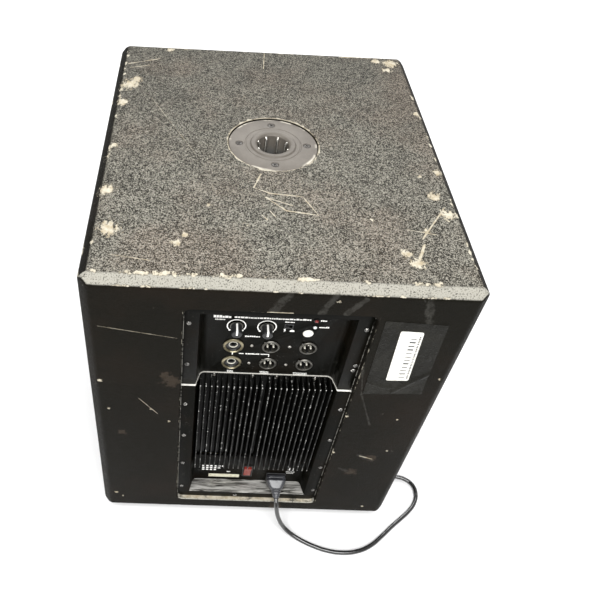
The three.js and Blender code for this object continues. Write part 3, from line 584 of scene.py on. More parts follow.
TOP_SCRATCHES = [  # from and to, each across and backwards, and half width
    (0.212, -0.196, 0.165, -0.216, 0.001), (0.209, -0.184, 0.18, -0.194, 0.0008),
    (-0.15, 0.165, -0.182, 0.172, 0.0008), (0.15, 0.235, 0.196, 0.228, 0.0007),
    (0.17, -0.2535, 0.12, -0.2525, 0.0016), (-0.12, -0.25, -0.172, -0.2515, 0.0013),
    (0.0, -0.252, 0.004, -0.2, 0.0008), (-0.205, 0.12, -0.165, 0.18, 0.0012),
    (-0.148, 0.228, -0.165, 0.19, 0.002), (0.02, 0.07, 0.03, 0.098, 0.0011),
    (0.03, 0.098, 0.01, 0.108, 0.0011), (0.012, 0.108, -0.03, 0.112, 0.0012),
    (-0.03, 0.112, -0.046, 0.146, 0.0012), (-0.046, 0.146, -0.008, 0.14, 0.0011),
    (-0.008, 0.14, 0.016, 0.116, 0.0011), (0.016, 0.116, -0.016, 0.13, 0.0011),
    (0.022, 0.15, 0.016, 0.158, 0.0012), (0.012, 0.142, 0.006, 0.152, 0.0011),
    (0.17, -0.1, 0.105, 0.03, 0.0003),
]
SMEARS = [  # pale greasy wipes over the rear, in the same way
    (0.014, 0.498, -0.012, 0.546, 0.0055), (-0.044, 0.505, -0.058, 0.54, 0.005),
    (-0.072, 0.505, -0.09, 0.53, 0.004), (-0.148, 0.544, -0.154, 0.53, 0.0026),
    (-0.156, 0.542, -0.179, 0.455, 0.0065), (-0.1067, 0.433, -0.122, 0.351, 0.0018),
    (-0.122, 0.351, -0.148, 0.281, 0.0015), (-0.172, 0.186, -0.15, 0.2, 0.004),
    (-0.15, 0.148, -0.13, 0.16, 0.0036),
]


def on_the_rear(spots):
    return [(x, rear, z, radius) for x, z, radius in spots]


def lines_on_the_rear(lines):
    return [((x, rear, z), (to_x, rear, to_z), half_width) for x, z, to_x, to_z, half_width in lines]


def lines_on_the_top(lines):
    return [((x, y, top), (to_x, to_y, top), half_width) for x, y, to_x, to_y, half_width in lines]


def cabinet_paint():
    look, place = begin("textured_paint")
    x, y, z = place.axes()
    up = place.facing_up()
    grain = place.noise(620, 3, 0.7)
    coarse = place.noise(150, 3, 0.6)
    cloud = place.noise(7, 4, 0.6)
    ragged = place.noise(105, 6, 0.78)
    gap_x = (cabinet_high.x - x.absolute()).most(0.0)
    gap_y = (cabinet_high.y - y.absolute()).most(0.0)
    half_height = (cabinet_high.z - cabinet_low.z) / 2
    gap_z = (half_height - (z - (cabinet_low.z + half_height)).absolute()).most(0.0)
    nearest = gap_x.least(gap_y).least(gap_z)
    off_arris = (gap_x + gap_y + gap_z - gap_x.most(gap_y).most(gap_z) - CHAMFER).most(0.0) + nearest * 1.4
    speck = (grain * 0.85 + coarse * 0.16 + place.noise(26, 3, 0.6) * 0.08).rise(0.50, 0.635)
    faced_up = up.rise(0.35, 0.9)
    brown = cloud.rise(0.42, 0.66)
    dark = brown.blend(colour(0.0056, 0.0050, 0.0033), colour(0.0098, 0.0070, 0.0046))
    side_tone = (speck * 0.35).blend(dark, colour(0.019, 0.017, 0.013))
    # The top is painted far paler than the sides and rear: partly dust, partly painted light from above. Its pale
    # specks are painted highlights that grow paler towards the rear edge, and the scattered glints, thickest
    # there, are painted highlights too.
    top_dark = brown.blend(colour(0.010, 0.009, 0.007), colour(0.023, 0.018, 0.013))
    top_speck_highlight = brown.blend(colour(0.285, 0.271, 0.227), colour(0.28, 0.246, 0.202))
    top_dust_and_light = (speck * y.rise(-0.27, 0.2, 0.74, 1.0)).blend(top_dark, top_speck_highlight)
    glint = place.noise(800, 2, 0.8).rise(0.58, 0.66) * y.rise(-0.25, 0.25, 0.35, 0.75)
    top_dust_and_light = glint.blend(top_dust_and_light, colour(0.52, 0.50, 0.44))
    paint = faced_up.blend(side_tone, top_dust_and_light)
    chamfer = up.rise(0.4, 0.6) * (1 - up.rise(0.8, 0.95))
    # The chamfer along the rear top is painted pale, far paler than the rear below it: a painted highlight where
    # it faces the light.
    lit_back_chamfer = chamfer * y.rise(rear - CHAMFER - 0.0006, rear - CHAMFER)
    paint = chamfer.blend(paint, side_tone)
    pale = (grain * 0.85 + coarse * 0.16).rise(0.37, 0.50)
    paint = lit_back_chamfer.blend(paint, pale.blend(colour(0.06, 0.058, 0.05), colour(0.385, 0.37, 0.32)))
    patchy = place.noise(16, 4, 0.7).rise(0.46, 0.62)
    upper = up.rise(0.3, 0.5)
    width = 0.0005 + upper * 0.0010 + patchy * (0.0008 + upper * 0.0022)
    edge = ((ragged - 0.30) * 3.2 * width - off_arris).rise(0.0, 0.0004)
    off_rebate = ((x.absolute() - REBATE_HALF).absolute() + (z - plate_high.z).most(0.0)
                  + (plate_low.z - z).most(0.0))
    rebate_rub = (((ragged - 0.50) * 0.0065 - off_rebate).rise(0.0, 0.0004)
                  * y.rise(rear - 0.002, rear - 0.001))
    flaky = place.vector("MULTIPLY", (1.0, 0.55, 1.0)).noise(240, 6, 0.8, 0.4)
    chips = on_the_rear(REAR_CHIPS) + [(x, y, top, radius) for x, y, radius in TOP_CHIPS]
    knocks = worn_spots(place, chips, flaky)
    scuffed = worn_spots(place, on_the_rear(BROWN_SPOTS), ragged)
    from_socket = place.distance((0, 0, top))
    seat_rub = ((ragged - 0.42) * 0.014 + (flange_radius + 0.0016) - from_socket).rise(0.0, 0.0004) * faced_up
    broken = place.noise(55, 4, 0.7)
    scratches = lines_on_the_rear(REAR_SCRATCHES) + lines_on_the_top(TOP_SCRATCHES)
    lines = scratches_along(place, scratches, broken)
    curl = place.noise(20, 3, 0.55)
    hairs = curl.rise(0.4975, 0.5000) * (1 - curl.rise(0.5000, 0.5025))
    sparse = place.noise(31, 3, 0.6).rise(0.52, 0.60)
    nicks = ragged.rise(0.655, 0.69) * place.noise(11, 2).rise(0.45, 0.58) * (0.25 + faced_up * 0.6)
    smears = scratches_along(place, lines_on_the_rear(SMEARS), broken) * ragged.rise(0.32, 0.62)
    ledge = (z.rise(plate_low.z + 0.004, plate_low.z) * up.rise(0.7, 0.9)
             * y.rise(rear - 0.012, rear - 0.011) * place.noise(60, 5, 0.75).rise(0.34, 0.5))
    bare = edge.most(rebate_rub * 0.6).most(knocks).most(lines * 0.9).most(hairs * sparse * 0.6 * faced_up)
    bare = bare.most(nicks).most(seat_rub * 0.9).most(ledge * 0.9)
    wood = ragged.rise(0.35, 0.65).blend(colour(0.38, 0.32, 0.22), colour(0.58, 0.54, 0.44))
    tone = (smears * 0.65).blend(paint, colour(0.050, 0.048, 0.042))
    tone = (scuffed * 0.8).blend(tone, colour(0.042, 0.032, 0.023))
    height = (grain * 0.7 + coarse * 0.5) * (1 - bare * 0.8) - bare * 0.5
    return shade(look, height, 0.0009, Base_Color=bare.blend(tone, wood), Specular_IOR_Level=0.04,
                 Roughness=0.46 + speck * 0.2 + bare * 0.3 - smears * 0.1)


piece("cabinet_shell", shell, cabinet_paint(),
      stands_for=["top_panel", "bottom_panel", "left_panel", "right_panel", "rear_panel"])

# ---- Feet ----
# Four turned rubber feet, each with a recess for the washer and the screw that holds it under the cabinet.


def moulded(name, base, lighter, roughness, grain=900, depth=0.00025):
    """Moulded rubber, plastic or paint: an even grain, and handling marks that are paler and duller."""
    look, place = begin(name)
    marks = place.noise(38, 5, 0.7).rise(0.5, 0.82)
    fine = place.noise(grain, 2, 0.6)
    scuffs = place.noise(150, 4, 0.8, 2.0).rise(0.6, 0.72)
    worn = (marks * 0.5).most(scuffs * 0.6)
    return shade(look, fine, depth, Base_Color=worn.blend(base, lighter), Roughness=roughness + worn * 0.2)


rubber_look = moulded("foot_rubber", grey(0.013), colour(0.07, 0.066, 0.06), 0.75, 700)
FOOT_PROFILE = [  # share of the radius, height in metres
    (0.0, 0.0030), (0.16, 0.0030), (0.16, 0.0034), (0.34, 0.0034), (0.37, 0.0004), (0.42, 0.0000),
    (0.84, 0.0000), (0.90, 0.0005), (0.97, 0.0022), (1.0, 0.0040), (1.0, 0.0090), (0.985, 0.0098),
    (0.0, 0.0098),
]
screw_steel = plated("screw_steel", colour(0.50, 0.49, 0.46), 0.3)
for i in range(1, 5):
    foot_middle = middle_of(f"foot_{i}")
    foot_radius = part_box(f"foot_{i}")[1].x - foot_middle.x
    under = (foot_middle.x, foot_middle.y, 0)
    piece(f"rubber_foot_{i}", turned([(share * foot_radius, height) for share, height in FOOT_PROFILE], under,
                                     "z", 64), rubber_look, stands_for=[f"foot_{i}"])
    washer = turned([(0.0, 0.0022), (0.0022, 0.0014), (0.0040, 0.0020), (0.0056, 0.0024), (0.0056, 0.0032),
                     (0.0, 0.0032)], under, "z", 32)
    piece(f"foot_screw_{i}", washer, screw_steel)


# ---- Baffle and ports ----
# The baffle is plywood in thin flat black. Its two reflex ports are moulded tubes with flared mouths, each
# pushed into a hole and held by its flange.
baffle_look = moulded("baffle_paint", grey(0.012), colour(0.03, 0.028, 0.025), 0.7, 420, 0.0004)
plastic_look = moulded("moulded_plastic", colour(0.010, 0.010, 0.0105), colour(0.045, 0.044, 0.042), 0.42)
baffle_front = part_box("front_baffle")[0].y
port_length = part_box("left_port_tube")[1].y - baffle_front
PORT_BORE = 0.038
PORT_WALL = 0.0025
FLARE = 0.009
flare = [(PORT_BORE + FLARE * (1 - math.sin(a)), -0.0032 + FLARE * (1 - math.cos(a)))
         for a in map(math.radians, range(0, 91, 10))]
for side in ("left", "right"):
    tube = f"{side}_port_tube"
    port_middle = middle_of(tube)
    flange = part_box(tube)[1].x - port_middle.x
    profile = [(flange, -0.0004), (flange, -0.0022), (flange - 0.0010, -0.0032), *flare,
               (PORT_BORE, port_length - 0.001), (PORT_BORE + 0.001, port_length),
               (PORT_BORE + PORT_WALL, port_length), (PORT_BORE + PORT_WALL, -0.0004)]
    piece(f"{side}_flared_port", turned(profile, (port_middle.x, baffle_front, port_middle.z), "y", 72),
          plastic_look, stands_for=[tube])
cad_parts["front_baffle"].data.materials.clear()
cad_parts["front_baffle"].data.materials.append(baffle_look)


# ---- Driver ----
# A fifteen-inch bass driver: cast basket bolted to the baffle, ribbed paper cone with a domed dust cap,
# half-roll cloth surround, and a ferrite magnet between steel plates behind.
driver_middle = middle_of("driver_cone")
driver_axis = (driver_middle.x, baffle_front, driver_middle.z)
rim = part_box("driver_cone")[1].x
throat = 0.040
cone_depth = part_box("driver_cone")[1].y - 0.0018 - baffle_front
basket_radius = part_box("driver_basket")[1].x


def cone_height(radius):
    """How far behind the baffle's front the cone's face is at a radius."""
    share = (rim - radius) / (rim - throat)
    return -0.005 + (cone_depth + 0.005) * (0.8 * share + 0.2 * share * share)


CONE_STEPS = 60
front_face, back_face = [], []
for i in range(CONE_STEPS + 1):
    radius = rim - (rim - throat) * i / CONE_STEPS
    ring = 0.0005 * max(0.0, math.sin(math.tau * i / CONE_STEPS * 5)) ** 3
    front_face.append((radius, cone_height(radius) - ring))
    back_face.append((radius, cone_height(radius) + 0.0016 - ring))
paper_look, place = begin("pulp_paper")
fibres = place.noise(340, 4, 0.75, 1.2)
shade(paper_look, fibres, 0.0006, Roughness=0.86,
      Base_Color=fibres.rise(0.35, 0.7).blend(grey(0.010), colour(0.032, 0.031, 0.029)))
piece("ribbed_cone", turned(front_face + back_face[::-1], driver_axis, "y", 128), paper_look,
      "cone_assembly", ["driver_cone"])
cap_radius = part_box("dust_cap")[1].x
cap_rise = 0.016
dome = [(cap_radius * math.sin(a), cone_height(cap_radius) - 0.0016 - cap_rise * math.cos(a))
        for a in (math.radians(step * 7.5) for step in range(13))]
dome += [(radius, height + 0.001) for radius, height in dome[::-1]]
piece("domed_cap", turned(dome, driver_axis, "y", 96), paper_look, "cone_assembly",
      ["dust_cap"])
cloth_look, place = begin("doped_cloth")
cloth = place.cells(1500)
shade(cloth_look, cloth + place.noise(300, 3), 0.0004, Roughness=0.62,
      Base_Color=place.noise(120, 3).blend(colour(0.010, 0.0098, 0.009), colour(0.026, 0.025, 0.022)))
ROLL_INNER, ROLL_OUTER, ROLL_HEIGHT = rim + 0.0012, 0.174, 0.009
roll = [((ROLL_INNER + ROLL_OUTER) / 2 - (ROLL_OUTER - ROLL_INNER) / 2 * math.cos(a), math.sin(a))
        for a in (math.pi * step / 16 for step in range(17))]
surround = ([(rim + 0.0004, -0.0046)] + [(radius, -0.0046 - ROLL_HEIGHT * lift) for radius, lift in roll]
            + [(0.19, -0.0046), (0.19, -0.0037)]
            + [(radius, -0.0037 - (ROLL_HEIGHT - 0.0006) * lift) for radius, lift in roll[::-1]]
            + [(rim + 0.0004, -0.0037)])
piece("roll_surround", turned(surround, driver_axis, "y", 128), cloth_look,
      stands_for=["driver_surround"])
gasket = [(0.1772, -0.0050), (0.1772, -0.0074), (0.1780, -0.0080), (basket_radius - 0.0012, -0.0080),
          (basket_radius - 0.0002, -0.0072), (basket_radius - 0.0002, -0.0050)]
piece("gasket_ring", turned(gasket, driver_axis, "y", 128), rubber_look,
      stands_for=["driver_gasket"])


def cross_cut(arm, width, low, high):
    """Two crossed bars, for cutting the cross into a screw's head."""
    return [box_mesh((-x, -y, low), (x, y, high)) for x, y in ((arm, width), (width, arm))]


def pan_head(radius, height):
    """A round-headed screw with a cross cut in its head, which faces upwards."""
    flat = [(0.0, height), (radius * 0.5, height), (radius * 0.82, height * 0.72), (radius, height * 0.28),
            (radius * 0.97, -0.0004), (0.0, -0.0004)]
    cross = cross_cut(radius * 0.58, radius * 0.13, height * 0.35, height + 0.001)
    return carved(turned(flat, (0, 0, 0), "z", 28), cross)


def gathered(meshes):
    """Several meshes as one, for like pieces that are fixed side by side."""
    built = bmesh.new()
    for mesh in meshes:
        built.from_mesh(mesh)
    return mesh_of(built)


bolt = pan_head(0.0042, 0.0022)


def screws_at(places, out, size=1.0):
    """Copies of one screw at several places, each turned a little further, as drivers leave them."""
    heads = []
    for i, place in enumerate(places):
        head = bolt.copy()
        head.transform(Matrix.Translation(place) @ Vector(out).to_track_quat("Z", "Y").to_matrix().to_4x4()
                       @ Matrix.Rotation(math.radians(37 * i), 4, "Z") @ Matrix.Scale(size, 4))
        heads.append(head)
    return gathered(heads)


BOLT_CIRCLE = 0.1865
bolts = [(driver_axis[0] + BOLT_CIRCLE * math.cos(a), baffle_front - 0.008,
          driver_axis[2] + BOLT_CIRCLE * math.sin(a)) for a in angles(8, 0.5)]
piece("driver_bolts", screws_at(bolts, (0, -1, 0), 1.1), screw_steel)


# ---- Grille ----
# Perforated steel, punched with hexagonal holes and powder coated. Its edges are folded back on all four
# sides, and it is pressed into the recess in front of the baffle with eight screws through its margin.
grille_low, grille_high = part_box("front_grille")
HOLE_PITCH = 0.0084
HOLE_SHARE = 0.74
MARGIN = 0.011
SHEET = 0.0012


def perforated(low, high, y):
    """A flat sheet between two corners, with hexagonal holes in staggered rows."""
    built = bmesh.new()
    row_step = HOLE_PITCH * math.sqrt(3) / 2
    columns = int((high[0] - low[0]) / HOLE_PITCH)
    rows = int((high[1] - low[1]) / row_step)
    left = (low[0] + high[0]) / 2 - (columns - 0.5) * HOLE_PITCH / 2
    bottom = (low[1] + high[1]) / 2 - (rows - 1) * row_step / 2
    around = [math.radians(30 + 60 * k) for k in range(6)]
    reach = HOLE_PITCH / math.sqrt(3)
    for row in range(rows):
        for column in range(columns):
            x = left + (column + 0.5 * (row % 2)) * HOLE_PITCH
            z = bottom + row * row_step
            outer, hole = [[built.verts.new((x + size * math.cos(a), y, z + size * math.sin(a)))
                            for a in around] for size in (reach, reach * HOLE_SHARE)]
            for k in range(6):
                built.faces.new((outer[k - 1], outer[k], hole[k], hole[k - 1]))
    bmesh.ops.remove_doubles(built, verts=built.verts, dist=1e-5)
    return mesh_of(built)


field = perforated((grille_low.x + MARGIN, grille_low.z + MARGIN),
                   (grille_high.x - MARGIN, grille_high.z - MARGIN), grille_low.y + SHEET / 2)
grille_face = placed("grille_face", field)
thickness = grille_face.modifiers.new("sheet", "SOLIDIFY")
thickness.thickness = SHEET
thickness.offset = 0
frame_rings = []
for inset, y in ((0.0, grille_high.y), (0.0, grille_low.y + 0.0015), (0.0006, grille_low.y + 0.0004),
                 (0.0018, grille_low.y), (MARGIN + 0.004, grille_low.y),
                 (MARGIN + 0.004, grille_low.y + SHEET), (0.0022, grille_low.y + SHEET),
                 (0.0013, grille_low.y + 0.002), (0.0013, grille_high.y)):
    outline = rounded_outline(grille_low.x + inset, grille_low.z + inset, grille_high.x - inset,
                              grille_high.z - inset, 0.006)
    frame_rings.append([(x, y, z) for x, z in outline])
grille_look = moulded("grille_powder_coat", grey(0.011), colour(0.06, 0.055, 0.05), 0.5, 1300,
                      0.00015)
field.materials.append(grille_look)
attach(grille_face, "cabinet_body")
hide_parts("front_grille")
piece("grille_margin", loft(frame_rings, closed=True), grille_look)
grille_screws = [(x, grille_low.y, z)
                 for x in (grille_low.x + 0.0075, grille_high.x - 0.0075)
                 for z in (grille_low.z + 0.03, (grille_low.z + grille_high.z) / 2, grille_high.z - 0.03)]
piece("grille_screws", screws_at(grille_screws, (0, -1, 0), 0.95), screw_steel)


# ---- Handles ----
# One-piece moulded handles: a lip that screws to the side, a pocket for the fingers and a round grip bar
# across its upper half.
HANDLE_LIP = 0.010
HANDLE_LIP_THICKNESS = 0.003
HANDLE_WALL = 0.003
BAR = 0.010
handle_middle = middle_of("left_handle")
lip_half = (handle_high - handle_low) / 2
cup_floor = handle_low.x
bar_height = handle_high.z - HANDLE_LIP - 0.026


def handle(side):
    """The handle of one side: its lip and pocket as one skin, and the grip bar grown into its ends."""
    face = cabinet_high.x
    pocket_y = lip_half.y - HANDLE_LIP
    pocket_z = lip_half.z - HANDLE_LIP
    depth = face - cup_floor
    levels = [  # depth in from the side's face, half width, half height, corner radius; pocket floor to back
        (depth - HANDLE_WALL, pocket_y - 0.012, pocket_z - 0.012, 0.012),
        (depth - HANDLE_WALL - 0.002, pocket_y - 0.006, pocket_z - 0.006, 0.010),
        (depth - HANDLE_WALL - 0.008, pocket_y - 0.003, pocket_z - 0.003, 0.008),
        (0.0012, pocket_y, pocket_z, 0.006), (0.0, pocket_y + 0.0016, pocket_z + 0.0016, 0.007),
        (0.0, lip_half.y - 0.0012, lip_half.z - 0.0012, 0.008), (0.0012, lip_half.y, lip_half.z, 0.009),
        (HANDLE_LIP_THICKNESS, lip_half.y, lip_half.z, 0.009),
        (HANDLE_LIP_THICKNESS, pocket_y + HANDLE_WALL, pocket_z + HANDLE_WALL, 0.008),
        (depth - 0.006, pocket_y + 0.001, pocket_z + 0.001, 0.010),
        (depth, pocket_y - 0.009, pocket_z - 0.009, 0.012),
    ]
    cup = loft([[(side * (face - inwards), y, handle_middle.z + z)
                 for y, z in rounded_outline(-w, -h, w, h, r)] for inwards, w, h, r in levels])
    ends = [(0.0, pocket_y + 0.001), (BAR + 0.003, pocket_y + 0.001), (BAR + 0.001, pocket_y - 0.004),
            (BAR, pocket_y - 0.009)]
    profile = [(radius, -reach) for radius, reach in ends] + ends[::-1]
    return gathered([cup, turned(profile, (side * (face - BAR - 0.001), 0, bar_height), "y", 40)])


for name, side in (("left", 1), ("right", -1)):
    piece(f"{name}_grip_handle", handle(side), plastic_look, stands_for=[f"{name}_handle"])
    lip_screws = [(side * (cabinet_high.x - 0.0002), y, handle_middle.z + z)
                  for y in (-lip_half.y + 0.0052, 0, lip_half.y - 0.0052)
                  for z in (-lip_half.z + 0.0052, lip_half.z - 0.0052)]
    piece(f"{name}_handle_screws", screws_at(lip_screws, (side, 0, 0), 0.8), screw_steel)


# ---- Pole socket ----
# A cast alloy cup let into the top: a flat flange with four countersunk screws, a raised collar, and a
# bore whose ribs grip a 35 mm pole. Its grey skin is satin, with rub marks where poles have been stood.
flange_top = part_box("socket_screw_1")[1].z + 0.0002
cup_bottom = socket_low.z
COLLAR_RADIUS = 0.031
BORE_RADIUS = 0.0215
CUP_WALL = 0.0035
SCREW_CIRCLE = middle_of("socket_screw_1").x
collar_top = socket_high.z - flange_top
flange_profile = [
    (0.0, cup_bottom - flange_top), (BORE_RADIUS + CUP_WALL - 0.003, cup_bottom - flange_top),
    (BORE_RADIUS + CUP_WALL, cup_bottom - flange_top + 0.003), (BORE_RADIUS + CUP_WALL, -0.004),
    (flange_radius, -0.004), (flange_radius, -0.0012), (flange_radius - 0.0004, -0.0004),
    (flange_radius - 0.0014, 0.0), (COLLAR_RADIUS + 0.0075, 0.0), (COLLAR_RADIUS + 0.0070, -0.0005),
    (COLLAR_RADIUS + 0.0056, -0.0005), (COLLAR_RADIUS + 0.0051, 0.0), (COLLAR_RADIUS + 0.0004, 0.0),
    (COLLAR_RADIUS - 0.0004, 0.0006), (COLLAR_RADIUS - 0.0012, collar_top - 0.0002),
    (COLLAR_RADIUS - 0.0018, collar_top), (BORE_RADIUS + 0.0052, collar_top),
    (BORE_RADIUS + 0.0046, collar_top - 0.0002), (BORE_RADIUS + 0.0030, collar_top - 0.0002),
    (BORE_RADIUS + 0.0014, collar_top - 0.0012), (BORE_RADIUS, collar_top - 0.003),
    (BORE_RADIUS, cup_bottom - flange_top + CUP_WALL), (0.0, cup_bottom - flange_top + CUP_WALL),
]
socket_place = (0, 0, flange_top)
casting = turned(flange_profile, socket_place, "z", 120)
screw_places = [(SCREW_CIRCLE * math.cos(a), SCREW_CIRCLE * math.sin(a), flange_top) for a in angles(4)]
SINK_PROFILE = [(0, -0.0045), (0.0024, -0.0045), (0.0024, -0.0032), (0.0054, -0.0002), (0.0060, 0.0006),
                (0, 0.0006)]
casting = carved(casting, [turned(SINK_PROFILE, place, "z", 40) for place in screw_places])
RIBS = 8
RIB_REACH = 0.0035
ribs = []
for a in angles(RIBS, 0.5):
    turn = Matrix.Rotation(a, 4, "Z")
    rings = []
    for z, inner in ((cup_bottom + CUP_WALL, BORE_RADIUS - RIB_REACH),
                     (flange_top - 0.0045, BORE_RADIUS - RIB_REACH),
                     (flange_top - 0.0016, BORE_RADIUS - 0.0010)):
        section = [(BORE_RADIUS + 0.001, -0.0026), (BORE_RADIUS + 0.001, 0.0026), (inner + 0.0006, 0.0016),
                   (inner, 0.0008), (inner, -0.0008), (inner + 0.0006, -0.0016)]
        rings.append([turn @ Vector((x, y, z)) for x, y in section])
    ribs.append(loft(rings))


def cast_alloy():
    look, place = begin("cast_alloy")
    x, y, z = place.axes()
    radius = place.node("ShaderNodeCombineXYZ", None, {0: x, 1: y}).distance((0, 0, 0))
    rings_worn = (radius * 2600).wave()
    cloud = place.noise(30, 4, 0.65)
    grit = place.noise(700, 3, 0.7)
    rub = place.noise(120, 5, 0.75, 1.0).rise(0.5, 0.7)
    # Deep in the bore the casting is painted a plainer, darker grey than higher up: painted shade in the hollow.
    face = z.rise(flange_top - 0.030, flange_top - 0.012)
    tone = cloud.rise(0.3, 0.7).blend(colour(0.118, 0.104, 0.088), colour(0.150, 0.134, 0.114))
    tone = (rub * 0.35).blend(tone, colour(0.20, 0.182, 0.155))
    rim_worn = radius.rise(flange_radius - 0.0045, flange_radius - 0.001) * place.noise(50, 3).rise(0.42, 0.6)
    tone = rim_worn.blend(tone, colour(0.62, 0.58, 0.49))
    return shade(look, grit + rings_worn * 0.06, 0.00025, Metallic=0.15, Roughness=0.5 + rub * 0.12,
                 Base_Color=face.blend(colour(0.10, 0.10, 0.095), tone), Specular_IOR_Level=0.3)


piece("socket_casting", casting, cast_alloy(), stands_for=["pole_socket"])
piece("socket_ribs", gathered(ribs), plated("rubbed_ribs", colour(0.66, 0.64, 0.60), 0.3))
dark_steel = plated("blackened_steel", colour(0.085, 0.08, 0.075), 0.34)
for i, place in enumerate(screw_places):
    head = turned([(0.0, -0.0150), (0.0019, -0.0150), (0.0019, -0.0030), (0.0046, -0.0006), (0.0047, -0.0003),
                   (0.0044, -0.0001), (0.0, 0.0001)], (0, 0, 0), "z", 32)
    head = carved(head, cross_cut(0.0024, 0.0005, -0.0016, 0.001))
    head.transform(Matrix.Translation((place[0], place[1], flange_top - 0.0003))
                   @ Matrix.Rotation(math.radians(20 + 41 * i), 4, "Z"))
    piece(f"countersunk_screw_{i + 1}", head, dark_steel, stands_for=[f"socket_screw_{i + 1}"])


# ---- Amplifier plates ----
# Two pressed steel sheets in black enamel: the control panel above and the lower plate below, with one
# trough drawn into both. The lower sheet stands a little proud, and its top edge is painted near white as a
# bright line: bare metal, and a painted highlight where the edge faces the light.


def copied(node):
    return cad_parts[node].data.copy()


lower_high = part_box("lower_plate")[1]
seam = (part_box("control_panel")[0].z + lower_high.z) / 2
trough_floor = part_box("clip_led")[1].y - 0.0025
lower_face = lower_high.y
web_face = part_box("heatsink")[0].y + 0.0078
POCKET_BOTTOM = 0.061


def enamel(name, bright_above, bright_below):
    """Black stoving enamel: faint orange peel, brown haze, scuffs, and bright metal at cut edges and in streaks
    on the pocket's floor, painted paler as painted highlight and painted reflection.
    """
    look, place = begin(name)
    x, y, z = place.axes()
    up = place.facing_up()
    haze = place.noise(16, 4, 0.6).rise(0.45, 0.72)
    peel = place.noise(420, 2)
    specks = place.noise(620, 3, 0.8).rise(0.70, 0.76)
    scuffs = place.noise(110, 4, 0.75, 3.0).rise(0.63, 0.70) * place.noise(20, 2).rise(0.42, 0.6)
    base = haze.blend(colour(0.0024, 0.0024, 0.0015), colour(0.0060, 0.0042, 0.0023))
    rim = (x.absolute().rise(plate_high.x - 0.0011, plate_high.x - 0.0005)
           * place.noise(160, 4, 0.75).rise(0.42, 0.52))
    marks = (specks * 0.5).most(scuffs * 0.35).most(rim)
    tone = marks.blend(base, colour(0.30, 0.29, 0.26))
    # The lower sheet's top edge is painted near white where it faces upwards: bare metal, and a painted
    # highlight.
    cut_edge_and_highlight = (z.rise(bright_above, bright_above + 0.0002) * up.rise(0.6, 0.8)
                * place.noise(70, 3).rise(0.2, 0.5, 0.75, 1.0))
    # Streaks on the pocket's floor are painted as pale metal: bare metal, and a painted reflection of the light
    # above.
    pocket = (up.rise(0.45, 0.8) * z.rise(bright_below + 0.001, bright_below)
              * y.rise(web_face, web_face + 0.004))
    streak = place.vector("MULTIPLY", (24, 260, 60)).noise(1.0, 4, 0.65, 0.8)
    streaks_and_reflection = pocket * streak.rise(0.30, 0.56)
    bare = cut_edge_and_highlight.most(streaks_and_reflection)
    metal = streak.rise(0.35, 0.7).blend(colour(0.17, 0.165, 0.15), colour(0.50, 0.49, 0.46))
    metal = cut_edge_and_highlight.blend(metal, colour(0.88, 0.86, 0.80))
    return shade(look, peel + bare * 0.5, 0.00012, Base_Color=bare.blend(tone, metal),
                 Roughness=0.30 + haze * 0.16 + marks * 0.25 + bare * 0.1, Metallic=streaks_and_reflection * 0.55,
                 Specular_IOR_Level=0.05)


panel_look = enamel("panel_enamel", 1.0, 0.0)
lower_look = enamel("plate_enamel", lower_high.z - 0.0006, POCKET_BOTTOM + 0.0025)
piece("control_panel_sheet", soft(copied("control_panel"), 0.0004, 2), panel_look,
      stands_for=["control_panel"])
piece("lower_plate_sheet", soft(copied("lower_plate"), 0.0005, 2), lower_look,
      stands_for=["lower_plate"])
TROUGH_FACE = 0.092
TROUGH_FLOOR = 0.088
TROUGH_FILLET = 0.008
LIP_PROUD = 0.0009
LIP_HEIGHT = 0.0016


def trough_section(proud):
    """Points across the trough from face to face, so far proud of its surface."""
    face, floor_half = TROUGH_FACE - proud, TROUGH_FLOOR - proud
    radius = TROUGH_FILLET - proud
    points = []
    for quarter in (2, 3):
        corner = -floor_half + radius if quarter == 2 else floor_half - radius
        for step in range(9):
            angle = math.tau / 4 * (quarter + step / 8)
            points.append((corner + radius * math.cos(angle),
                           trough_floor + proud + radius * (1 + math.sin(angle))))
    return [(-face, plate_face - 0.0004)] + points + [(face, plate_face - 0.0004)]


edge_z = seam + 0.0004
strip = [[(*inner, edge_z), (*inner, edge_z + LIP_HEIGHT), (*outer, edge_z + LIP_HEIGHT), (*outer, edge_z)]
         for inner, outer in zip(trough_section(-0.0002), trough_section(LIP_PROUD))]
# This lip along the lower sheet's top edge over the trough is painted pale all over: bare metal, and a painted
# highlight for the bright line it shows.
bare_and_lit_edge_look = moulded("bare_and_lit_edge", colour(0.50, 0.485, 0.44), colour(0.86, 0.85, 0.80), 0.32, 500)
piece("trough_edge_bare_and_lit", soft(loft(strip), 0.0002, 1), bare_and_lit_edge_look)


# ---- Heatsink ----
# An aluminium extrusion, black anodised: two groups of twelve fins on one web, let through the lower
# plate. Knocks and plugs have rubbed the fins' ends and edges bright; the pale tips, palest at the fins'
# ends, are also painted highlights.
fins_low, fins_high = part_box("heatsink")
fins_half = (fins_high.z - fins_low.z) / 2


